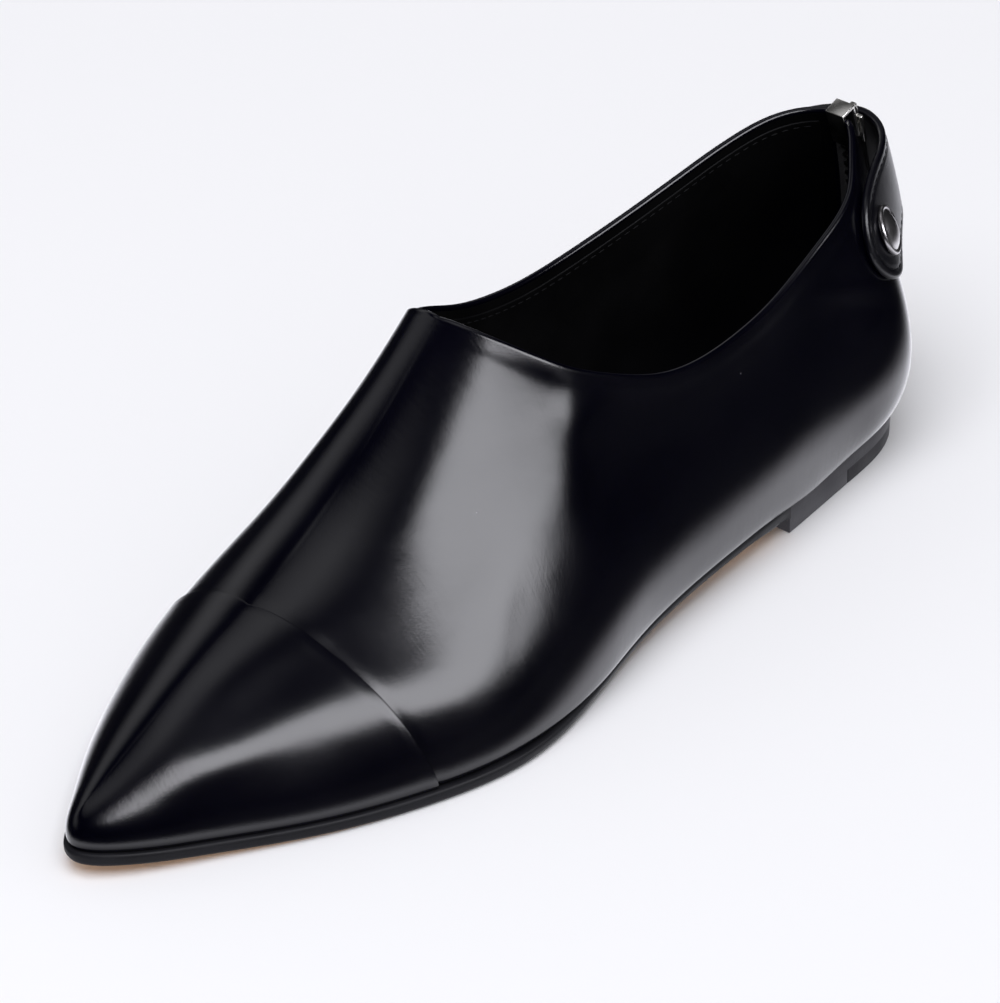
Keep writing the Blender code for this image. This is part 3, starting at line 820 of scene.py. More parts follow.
@dataclass(frozen=True)
class Swell:
    """Soft oval rise or hollow of the upper round a place given along the foot line and in height."""

    along: float
    height: float
    half_length: float
    half_width: float
    lean_deg: float
    rise: float

    def relief(self, along: Array, z: Array) -> Array:
        """Height of the swell at places of the upper.

        Args:
            along: places along the foot line.
            z: heights over the floor.

        Returns:
            Distances out from the surface.
        """
        lean = math.radians(self.lean_deg)
        ahead, above = along - self.along, z - self.height
        lengthwise = (math.cos(lean) * ahead + math.sin(lean) * above) / self.half_length
        crosswise = (math.cos(lean) * above - math.sin(lean) * ahead) / self.half_width
        return self.rise * np.exp(-lengthwise ** 2 - crosswise ** 2)


def link_value(tree: Tree, socket: Socket, value: object) -> None:
    """Sets a node's input, or links it where the value is a socket.

    Args:
        tree: tree of the node.
        socket: input to set.
        value: plain value or output socket.
    """
    if isinstance(value, Socket):
        tree.links.new(value, socket)
    else:
        socket.default_value = value


def add_node(tree: Tree, kind: str, inputs: dict[str | int, object] | None = None,
             **settings: object) -> Node:
    """Adds a node.

    Args:
        tree: tree that takes the node.
        kind: Blender's name of the node type, without its prefix.
        inputs: values or sockets for inputs, by name or number.
        settings: the node's own properties.

    Returns:
        The node.
    """
    made = tree.nodes.new("ShaderNode" + kind)
    for name, value in settings.items():
        setattr(made, name, value)
    for name, value in (inputs or {}).items():
        link_value(tree, made.inputs[name], value)
    return made


def math_value(tree: Tree, operation: str, *values: object) -> Socket:
    """Output of a new math node, whose inputs are values or sockets."""
    return add_node(tree, "Math", dict(enumerate(values)), operation=operation).outputs[0]


def scale_vector(tree: Tree, vector: object, scale: object) -> Socket:
    """Output of a new node that scales a vector."""
    return add_node(tree, "VectorMath", {0: vector, "Scale": scale}, operation="SCALE").outputs["Vector"]


def map_value(tree: Tree, value: Socket, start: float, end: float, low: float = 0.0,
              high: float = 1.0) -> Socket:
    """Output of a new node that takes a value from low at start to high at end."""
    inputs = {"Value": value, "From Min": start, "From Max": end, "To Min": low, "To Max": high}
    return add_node(tree, "MapRange", inputs).outputs["Result"]


def mix_colour(tree: Tree, factor: Socket, first: object, second: object) -> Socket:
    """Output of a new node that mixes two colours."""
    inputs = dict(zip(MIX_COLOURS, (factor, first, second)))
    return add_node(tree, "Mix", inputs, data_type="RGBA").outputs[MIXED_COLOUR]


def noise_value(tree: Tree, place: Socket, scale: object, detail: float,
                roughness: float, distortion: float = 0.0) -> Socket:
    """Output of a new noise texture.

    Args:
        tree: tree that takes the node.
        place: place to read.
        scale: patches per unit, as a value or a socket.
        detail: number of finer layers.
        roughness: strength of the finer layers.
        distortion: how far the patches are bent.

    Returns:
        The output socket.
    """
    inputs = {"Vector": place, "Scale": scale, "Detail": detail, "Roughness": roughness}
    return add_node(tree, "TexNoise", {**inputs, "Distortion": distortion}).outputs["Fac"]


class Effect(Enum):
    """Shared shader effects."""

    GRAIN = "leather_grain"
    POLISH = "polish_patches"
    SPECKS = "dust_specks"
    WEAVE = "ribbed_weave"


class EffectGroups:
    """Node groups of the shared effects, each built when it is first wanted."""

    PER_METRE = 1.0 / MM
    PER_DENT = 0.11
    HAIR_DRAW = (1.0, 0.085, 1.0)

    def __init__(self) -> None:
        """Starts with no group built."""
        self.built: dict[Effect, Tree] = {}

    def get(self, effect: Effect) -> Tree:
        """Group of one effect.

        Args:
            effect: wanted effect.

        Returns:
            The node group.
        """
        if effect not in self.built:
            makers = {
                Effect.GRAIN: self.grain,
                Effect.POLISH: self.polish,
                Effect.SPECKS: self.specks,
                Effect.WEAVE: self.weave,
            }
            self.built[effect] = makers[effect]()
        return self.built[effect]

    @staticmethod
    def start(effect: Effect, inputs: dict[str, float], outputs: Sequence[str]) -> tuple[Tree, Node, Node]:
        """Empty group with its sockets.

        Args:
            effect: effect that names the group.
            inputs: number inputs with their first values.
            outputs: names of the number outputs.

        Returns:
            The tree, its input node and its output node.
        """
        tree = bpy.data.node_groups.new(effect.value, "ShaderNodeTree")
        for name, value in inputs.items():
            socket = tree.interface.new_socket(name, in_out="INPUT", socket_type="NodeSocketFloat")
            socket.default_value = value
        for name in outputs:
            tree.interface.new_socket(name, in_out="OUTPUT", socket_type="NodeSocketFloat")
        return tree, tree.nodes.new("NodeGroupInput"), tree.nodes.new("NodeGroupOutput")

    def millimetres(self, tree: Tree) -> Socket:
        """Place on the object in millimetres."""
        return scale_vector(tree, add_node(tree, "TexCoord").outputs["Object"], self.PER_METRE)

    def grain(self) -> Tree:
        """Fine pores, hair lines that run up the leather, and wide shallow dents.

        Returns:
            A group that puts out a height.
        """
        tree, given, out = self.start(
            Effect.GRAIN, {"Pore": 0.5, "Hair": 0.5, "Hair Width": 0.7, "Dent": 0.0}, ["Height"])
        place = self.millimetres(tree)
        per_pore = math_value(tree, "DIVIDE", 1.0, given.outputs["Pore"])
        pores = noise_value(tree, place, per_pore, detail=3.0, roughness=0.6)
        leather = add_node(tree, "Attribute", attribute_name="leather_mm").outputs["Vector"]
        drawn = add_node(tree, "VectorMath", {0: leather, 1: self.HAIR_DRAW}, operation="MULTIPLY")
        per_hair = math_value(tree, "DIVIDE", 1.0, given.outputs["Hair Width"])
        hairs = noise_value(
            tree, drawn.outputs["Vector"], per_hair, detail=2.0, roughness=0.55, distortion=0.25)
        hair = math_value(tree, "MULTIPLY", hairs, given.outputs["Hair"])
        fine = math_value(tree, "ADD", pores, hair)
        dents = noise_value(tree, place, self.PER_DENT, detail=2.0, roughness=0.45)
        height = math_value(tree, "MULTIPLY_ADD", dents, given.outputs["Dent"], fine)
        tree.links.new(height, out.inputs["Height"])
        return tree

    def polish(self) -> Tree:
        """Broad soft patches of more and less polish.

        Returns:
            A group that puts out a tone from 0 to 1.
        """
        tree, given, out = self.start(Effect.POLISH, {"Size": 25.0}, ["Tone"])
        per_patch = math_value(tree, "DIVIDE", 1.0, given.outputs["Size"])
        patches = noise_value(tree, self.millimetres(tree), per_patch, detail=4.0, roughness=0.5)
        tree.links.new(map_value(tree, patches, start=0.3, end=0.7), out.inputs["Tone"])
        return tree

    def specks(self) -> Tree:
        """Sparse pale specks of dust.

        Returns:
            A group that puts out a mask.
        """
        tree, given, out = self.start(Effect.SPECKS, {"Spacing": 14.0, "Radius": 0.25}, ["Mask"])
        per_cell = math_value(tree, "DIVIDE", 1.0, given.outputs["Spacing"])
        cells = add_node(tree, "TexVoronoi", {"Vector": self.millimetres(tree), "Scale": per_cell})
        reach = math_value(tree, "MULTIPLY", given.outputs["Radius"], per_cell)
        inside = math_value(tree, "LESS_THAN", cells.outputs["Distance"], reach)
        tree.links.new(inside, out.inputs["Mask"])
        return tree

    def weave(self) -> Tree:
        """Ribs of a woven tape across the leather coordinate.

        Returns:
            A group that puts out a height.
        """
        tree, given, out = self.start(Effect.WEAVE, {"Pitch": 0.6}, ["Height"])
        leather = add_node(tree, "Attribute", attribute_name="leather_mm").outputs["Vector"]
        turns = math_value(tree, "DIVIDE", 2.0 * math.pi, given.outputs["Pitch"])
        parts = add_node(tree, "SeparateXYZ", {"Vector": scale_vector(tree, leather, turns)}).outputs
        across, rising = (math_value(tree, "SINE", parts[axis]) for axis in "XY")
        both = math_value(tree, "MULTIPLY", across, rising)
        tree.links.new(map_value(tree, both, start=-1.0, end=1.0), out.inputs["Height"])
        return tree


@dataclass(frozen=True)
class Finish:
    """One finish of the shoe.

    dark and pale are the ends of its colour, smooth and dull those of its roughness; both follow the
    polish patches. relief is the depth of its grain or weave in millimetres.
    """

    name: str
    dark: Colour
    pale: Colour
    smooth: float
    dull: float
    patch: float = 25.0
    pore: float = 0.5
    hair: float = 0.0
    hair_width: float = 0.7
    relief: float = 0.02
    dent: float = 0.0
    weave: float = 0.0
    speck: float = 0.0
    speck_colour: Colour = (0.10, 0.10, 0.11)
    metallic: float = 0.0
    specular: float = 0.5
    sheen: float = 0.0

    def material(self, groups: EffectGroups) -> Material:
        """Material of this finish.

        Args:
            groups: shared effects.

        Returns:
            The material.
        """
        made = bpy.data.materials.new(self.name)
        made.use_nodes = True
        tree = made.node_tree
        shader = tree.nodes["Principled BSDF"]
        shader.inputs["Metallic"].default_value = self.metallic
        shader.inputs["Specular IOR Level"].default_value = self.specular
        shader.inputs["Sheen Weight"].default_value = self.sheen
        tone = self.effect(tree, groups, Effect.POLISH, {"Size": self.patch}).outputs["Tone"]
        shown = mix_colour(tree, tone, (*self.dark, 1.0), (*self.pale, 1.0))
        if self.speck > 0.0:
            mask = self.effect(tree, groups, Effect.SPECKS, {"Radius": self.speck}).outputs["Mask"]
            shown = mix_colour(tree, mask, shown, (*self.speck_colour, 1.0))
        tree.links.new(shown, shader.inputs["Base Color"])
        roughness = map_value(tree, tone, 0.0, 1.0, self.smooth, self.dull)
        tree.links.new(roughness, shader.inputs["Roughness"])
        if self.weave > 0.0:
            height = self.effect(tree, groups, Effect.WEAVE, {"Pitch": self.weave}).outputs["Height"]
        else:
            values = {"Pore": self.pore, "Hair": self.hair, "Hair Width": self.hair_width, "Dent": self.dent}
            height = self.effect(tree, groups, Effect.GRAIN, values).outputs["Height"]
        bump = add_node(tree, "Bump", {"Height": height, "Strength": 1.0, "Distance": self.relief * MM})
        tree.links.new(bump.outputs["Normal"], shader.inputs["Normal"])
        return made

    @staticmethod
    def effect(tree: Tree, groups: EffectGroups, effect: Effect,
               values: dict[str, float]) -> Node:
        """Places a shared effect in a material.

        Args:
            tree: material's tree.
            groups: shared effects.
            effect: wanted effect.
            values: values of the group's inputs.

        Returns:
            The group node.
        """
        made = tree.nodes.new("ShaderNodeGroup")
        made.node_tree = groups.get(effect)
        for name, value in values.items():
            made.inputs[name].default_value = value
        return made


@dataclass(frozen=True)
class Finishes:
    """Materials of the whole shoe."""

    leather: Material
    strap: Material
    lining: Material
    edge: Material
    underside: Material
    heel: Material
    rubber: Material
    insole: Material
    tape: Material
    teeth: Material
    thread: Material
    snap: Material
    slider: Material

    @classmethod
    def mixed(cls) -> "Finishes":
        """Makes every material from its finish.

        Returns:
            The materials.
        """
        groups = EffectGroups()
        black, ink = (0.0002, 0.0002, 0.0022), (0.0006, 0.0005, 0.0032)
        rows = {
            "leather": Finish(
                "polished_leather", black, ink, smooth=0.15, dull=0.21, patch=30.0, pore=0.35, hair=0.9,
                hair_width=0.75, relief=0.02, dent=3.0, speck=0.16, specular=0.42),
            "strap": Finish(
                "strap_leather", black, ink, smooth=0.26, dull=0.36, patch=12.0, pore=0.45, hair=0.4,
                hair_width=0.8, relief=0.03, specular=0.42),
            "lining": Finish(
                "black_lining", (0.0006, 0.0006, 0.0012), (0.0012, 0.0012, 0.002), smooth=0.5, dull=0.62,
                patch=18.0, hair=0.2, hair_width=0.8, relief=0.05, specular=0.12),
            "edge": Finish(
                "painted_edge", (0.004, 0.004, 0.006), (0.009, 0.009, 0.012), smooth=0.5, dull=0.62,
                patch=9.0, pore=0.6, relief=0.05, specular=0.2),
            "underside": Finish(
                "natural_underside", (0.52, 0.29, 0.13), (0.68, 0.42, 0.22), smooth=0.5, dull=0.62,
                patch=16.0, pore=0.7, relief=0.04, specular=0.35),
            "heel": Finish(
                "painted_heel", (0.014, 0.013, 0.018), (0.024, 0.022, 0.029), smooth=0.5, dull=0.62,
                patch=10.0, relief=0.05, specular=0.3),
            "rubber": Finish(
                "heel_rubber", (0.007, 0.0065, 0.009), (0.012, 0.011, 0.015), smooth=0.6, dull=0.72,
                patch=8.0, pore=0.4, relief=0.05, specular=0.22),
            "insole": Finish(
                "insole_leather", (0.0006, 0.0006, 0.0010), (0.0012, 0.0012, 0.002), smooth=0.5, dull=0.6,
                patch=20.0, relief=0.05, specular=0.12),
            "tape": Finish(
                "woven_tape", (0.004, 0.004, 0.005), (0.008, 0.008, 0.010), smooth=0.75, dull=0.9,
                patch=6.0, relief=0.12, weave=0.7, specular=0.25, sheen=0.2),
            "teeth": Finish(
                "dark_zip_metal", (0.05, 0.05, 0.055), (0.10, 0.10, 0.10), smooth=0.34, dull=0.48,
                patch=5.0, pore=0.3, relief=0.01, metallic=1.0),
            "thread": Finish(
                "black_thread", (0.0012, 0.0012, 0.0024), (0.0024, 0.0024, 0.004), smooth=0.6, dull=0.75,
                patch=5.0, relief=0.05, weave=0.35, specular=0.12),
            "snap": Finish(
                "dark_snap_metal", (0.30, 0.29, 0.30), (0.42, 0.41, 0.41), smooth=0.24, dull=0.34,
                patch=6.0, pore=0.3, relief=0.006, metallic=1.0),
            "slider": Finish(
                "nickel", (0.5, 0.49, 0.47), (0.66, 0.65, 0.62), smooth=0.18, dull=0.3,
                patch=5.0, pore=0.3, relief=0.006, metallic=1.0),
        }
        return cls(**{name: finish.material(groups) for name, finish in rows.items()})


def settle(piece: bpy.types.Object, body: Body, replaced: Sequence[str] = ()) -> bpy.types.Object:
    """Lets a finished piece ride on its body.

    Args:
        piece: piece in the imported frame.
        body: body that carries it.
        replaced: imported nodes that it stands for.

    Returns:
        The piece.
    """
    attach(piece, body.value)
    if replaced:
        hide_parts(*replaced)
    LOG.info("%s: %d faces on %s", piece.name, len(piece.data.polygons), body.value)
    return piece


def nearest_distance(points: Array, line: Array) -> Array:
    """Distance of each point from the closest of a line's points.

    Args:
        points: points, with a last axis of 3.
        line: points of the line.

    Returns:
        Distances in the shape of the points.
    """
    flat = points.reshape(-1, 3)
    best = np.full(len(flat), np.inf)
    for spot in line:
        np.minimum(best, np.sum((flat - spot) ** 2, axis=1), out=best)
    return np.sqrt(best).reshape(points.shape[:-1])


@dataclass(frozen=True)
class Stitching:
    """Row of sunken thread stitches.

    stations are places along a stitch as shares of its length, with its swell there. sink is how deep
    its ends lie, as a share of its height.
    """

    length: float = 2.0
    pitch: float = 2.7
    width: float = 0.42
    height: float = 0.34
    sides: int = 6
    sink: float = 0.3
    stations: tuple[Pair, ...] = (
        (-0.46, 0.5), (-0.28, 0.92), (0.0, 1.0), (0.28, 0.92), (0.46, 0.5))

    def sew(self, maker: MeshMaker, path: Array, normals: Array) -> None:
        """Adds stitches along a path.

        Args:
            maker: collects the stitches.
            path: points of the path.
            normals: outward normals at the points.
        """
        lengths = np.concatenate([[0.0], np.cumsum(np.linalg.norm(np.diff(path, axis=0), axis=1))])
        count = max(1, int(lengths[-1] / self.pitch))
        for centre in (np.arange(count) + 0.5) * lengths[-1] / count:
            places = centre + np.array([-0.5, 0.0, 0.5]) * self.length
            spots = np.stack([np.interp(places, lengths, path[:, k]) for k in range(3)], axis=1)
            normal = unit(np.array([np.interp(centre, lengths, normals[:, k]) for k in range(3)]))
            heading = unit(spots[2] - spots[0])
            across = unit(np.cross(normal, heading))
            self.stitch(maker, spots[1], heading, across, normal)

    def stitch(self, maker: MeshMaker, middle: Array, heading: Array, across: Array, normal: Array) -> None:
        """Adds one stitch.

        Args:
            maker: collects the stitch.
            middle: middle of the stitch on the leather.
            heading: direction of the seam.
            across: direction across the seam.
            normal: outward normal of the leather.
        """
        wide, high = across * self.width / 2.0, normal * self.height / 2.0
        end_reach, dip = heading * self.length / 2.0, normal * self.height * self.sink
        points = [middle - end_reach - dip]
        for share, swell in self.stations:
            for k in range(self.sides):
                turn = 2.0 * math.pi * k / self.sides
                spoke = wide * math.cos(turn) + high * math.sin(turn)
                spot = middle + heading * self.length * share
                points.append(spot + spoke * swell + dip * (swell - 1.0))
        points.append(middle + end_reach - dip)
        end = len(points) - 1
        faces: list[Face] = []
        for k in range(self.sides):
            following = (k + 1) % self.sides
            faces.append((0, 1 + following, 1 + k))
            for ring in range(len(self.stations) - 1):
                low, high = 1 + ring * self.sides, 1 + (ring + 1) * self.sides
                faces.append((low + k, low + following, high + following, high + k))
            top = 1 + (len(self.stations) - 1) * self.sides
            faces.append((top + k, top + following, end))
        maker.add(np.array(points), faces)


class Plate:
    """Solid between two heights over a plan outline, with a shaped edge."""

    UNDERCUT_SHARE = 0.55
    MITRE_LIMIT = 0.4
    LEATHER_STEP = 0.5

    def __init__(self, outline: Array, bottom: Callable[[Array], Array],
                 top: Callable[[Array], Array]) -> None:
        """Takes the shape.

        Args:
            outline: plan points of shape (n, 2), counter-clockwise.
            bottom: height of the lower face along the shoe.
            top: height of the upper face along the shoe.
        """
        self.outline = outline
        self.bottom = bottom
        self.top = top

    def inset(self, distance: Array | float) -> Array:
        """Outline moved inwards, with mitred corners.

        Args:
            distance: one distance, or one for each point.

        Returns:
            Points of shape (n, 2).
        """
        ahead = unit(np.roll(self.outline, -1, axis=0) - self.outline)
        outward = np.stack([ahead[:, 1], -ahead[:, 0]], axis=1)
        before = np.roll(outward, 1, axis=0)
        sharp = 1.0 + np.sum(outward * before, axis=1, keepdims=True)
        return self.outline - (outward + before) / np.maximum(sharp, self.MITRE_LIMIT) * distance

    def add(self, maker: MeshMaker, profile: Sequence[Pair], edge: int = 0, under: int = 0,
            over: int = 0, undercut: Callable[[Array], Array] = np.zeros_like) -> None:
        """Adds the solid.

        Args:
            maker: collects the solid.
            profile: inset and height share of each ring, from the lower face to the upper one.
            edge: material number of the edge.
            under: material number of the lower face.
            over: material number of the upper face.
            undercut: further inset of the lower face along the shoe, which dies out halfway up the edge.
        """
        rings = []
        for inset, share in profile:
            low_share = max(0.0, 1.0 - share / self.UNDERCUT_SHARE) ** 2
            plan = self.inset(inset + low_share * undercut(self.outline[:, :1]))
            low, high = self.bottom(plan[:, 0]), self.top(plan[:, 0])
            rings.append(np.column_stack([plan, low + (high - low) * share]))
        count = len(self.outline)
        points = np.stack(rings, axis=1)
        around = np.broadcast_to(np.arange(count)[:, None] * self.LEATHER_STEP, points.shape[:2])
        leather = np.stack([around, points[..., 2]], axis=-1)
        maker.add(points, grid_faces(count, len(rings), close=True), edge, leather)
        maker.add(rings[0], self.filled(rings[0], reverse=True), under)
        maker.add(rings[-1], self.filled(rings[-1], reverse=False), over)

    @staticmethod
    def filled(ring: Array, reverse: bool) -> list[Face]:
        """Narrow triangles across a ring from end to end.

        Args:
            ring: points of the ring.
            reverse: whether the face looks down.

        Returns:
            The faces.
        """
        count = len(ring)
        start, end = int(np.argmin(ring[:, 0])), int(np.argmax(ring[:, 0]))
        right = [(start + k) % count for k in range((end - start) % count + 1)]
        left = [(start - k) % count for k in range((start - end) % count + 1)]
        faces = []
        i = j = 0
        while i < len(right) - 1 or j < len(left) - 1:
            step_right = j == len(left) - 1
            if not step_right and i < len(right) - 1:
                step_right = ring[right[i + 1], 0] <= ring[left[j + 1], 0]
            if step_right:
                corners = (right[i], right[i + 1], left[j])
                i += 1
            else:
                corners = (right[i], left[j + 1], left[j])
                j += 1
            if len(set(corners)) == 3:
                faces.append(corners[::-1] if reverse else corners)
        return faces


@dataclass
class SoleUnit:
    """Outsole, heel lift with its rubber rear corner, and insole."""

    last: Last
    sole: SoleLine
    finishes: Finishes
    edge_out: float = 1.2
    heel_inset: float = 0.2
    heel_breast_x: float = 67.0
    heel_split_x: float = 42.0
    split_gap: float = 0.3
    insole_out: float = -2.5
    insole_thickness: float = 2.0
    samples: int = 420
    crowding: float = 0.12
    cut_clear: float = 0.05
    tread_bevel: float = 0.9
    waist_bevel: float = 3.4
    waist_from: Pair = (72.0, 92.0)
    waist_to: Pair = (146.0, 176.0)
    breast_fade: float = 3.0
    sole_profile: tuple[Pair, ...] = (
        (0.0, 0.0), (0.0, 0.03), (0.0, 0.14), (0.0, 0.28), (0.0, 0.4), (0.02, 0.7), (0.14, 0.9), (0.5, 1.0),
        (1.6, 1.0))
    heel_profile: tuple[Pair, ...] = (
        (0.6, 0.0), (0.15, 0.02), (0.0, 0.10), (0.0, 1.0))
    insole_profile: tuple[Pair, ...] = (
        (0.4, 0.0), (0.0, 0.15), (0.0, 0.7), (0.25, 0.92), (0.9, 1.0))

    def chain(self, side: Side, outward: float) -> Array:
        """Plan points of one side from the back to the tip, moved out from the upper's foot line.

        Args:
            side: side of the foot.
            outward: distance from the foot line.

        Returns:
            Points of shape (n, 2).
        """
        share = np.linspace(0.0, 1.0, self.samples)
        crowded = share - self.crowding * np.sin(2.0 * math.pi * share) / math.pi
        foot = self.last.point(self.last.place["tip", side] * crowded, 0.0)[:, :2]
        heading = unit(np.gradient(foot, axis=0)) * side
        return foot + outward * np.stack([-heading[:, 1], heading[:, 0]], axis=1)

    def outline(self, outward: float, start_x: float | None = None, end_x: float | None = None) -> Array:
        """Closed plan outline, cut straight across where ends are given.

        Args:
            outward: distance from the foot line.
            start_x: place of a straight rear end.
            end_x: place of a straight front end.

        Returns:
            Points of shape (n, 2), counter-clockwise.
        """
        sides = []
        for side in (Side.INNER, Side.OUTER):
            line = self.chain(side, outward)
            line[:, 0] = np.maximum.accumulate(line[:, 0])
            for cut, keep in ((start_x, 1.0), (end_x, -1.0)):
                if cut is None:
                    continue
                y = np.interp(cut, line[:, 0], line[:, 1])
                kept = line[(line[:, 0] - cut) * keep > self.cut_clear]
                line = np.vstack([[cut, y], kept] if keep > 0.0 else [kept, [cut, y]])
            sides.append(line)
        inner, outer = sides
        first = 0 if start_x is not None else 1
        last = len(outer) if end_x is not None else len(outer) - 1
        return np.vstack([inner, outer[first:last][::-1]])

    def build(self) -> None:
        """Builds the three hard layers and the insole."""
        maker = MeshMaker()
        plate = Plate(self.outline(self.edge_out), self.sole.underside, self.sole.top)
        materials = [self.finishes.edge, self.finishes.underside, self.finishes.heel]
        edge, under, heel = range(len(materials))
        plate.add(maker, self.sole_profile, edge=edge, under=under, over=edge, undercut=self.undercut)
        piece = maker.make("outsole_leather", materials)
        breast = (self.heel_breast_x - LAST_TO_FRAME[0]) * MM
        for polygon in piece.data.polygons:
            if polygon.material_index == edge and polygon.center.x < breast:
                polygon.material_index = heel
        settle(piece, Body.SHOE, ["outsole"])
        half_gap = self.split_gap / 2.0
        self.heel("heel_lift_stack", "heel_lift", self.heel_split_x + half_gap, self.heel_breast_x,
                  [self.finishes.heel, self.finishes.underside], Slot.HEEL)
        self.heel("heel_rubber_corner", "heel_rubber", None, self.heel_split_x - half_gap,
                  [self.finishes.rubber, self.finishes.rubber], Slot.RUBBER)
        maker = MeshMaker()
        foot = self.sole.foot
        plate = Plate(self.outline(self.insole_out), foot, lambda x: foot(x) + self.insole_thickness)
        plate.add(maker, self.insole_profile)
        settle(maker.make("insole_sock", [self.finishes.insole]), Body.SHOE, ["insole"])

    def undercut(self, x: Array) -> Array:
        """Inset of the outsole's lower edge: none over the heel, wide in the waist, narrow at the tread.

        Args:
            x: places along the shoe.

        Returns:
            An inset for each place.
        """
        ahead = smooth_step(x, self.heel_breast_x, self.heel_breast_x + self.breast_fade)
        waist = between(x, self.waist_from, self.waist_to)
        return self.tread_bevel * ahead + (self.waist_bevel - self.tread_bevel) * waist

    def heel(self, name: str, node: str, start_x: float | None, end_x: float,
             materials: list[Material], slot: Slot) -> None:
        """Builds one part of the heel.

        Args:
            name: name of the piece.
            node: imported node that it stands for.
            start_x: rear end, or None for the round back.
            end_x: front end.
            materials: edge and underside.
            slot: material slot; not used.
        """
        maker = MeshMaker()
        outline = self.outline(self.edge_out - self.heel_inset, start_x, end_x)
        height = self.sole.heel_height + self.sole.gap
        plate = Plate(outline, np.zeros_like, lambda x: np.full_like(x, height))
        plate.add(maker, self.heel_profile, edge=0, under=1, over=0)
        settle(maker.make(name, materials), Body.SHOE, [node])


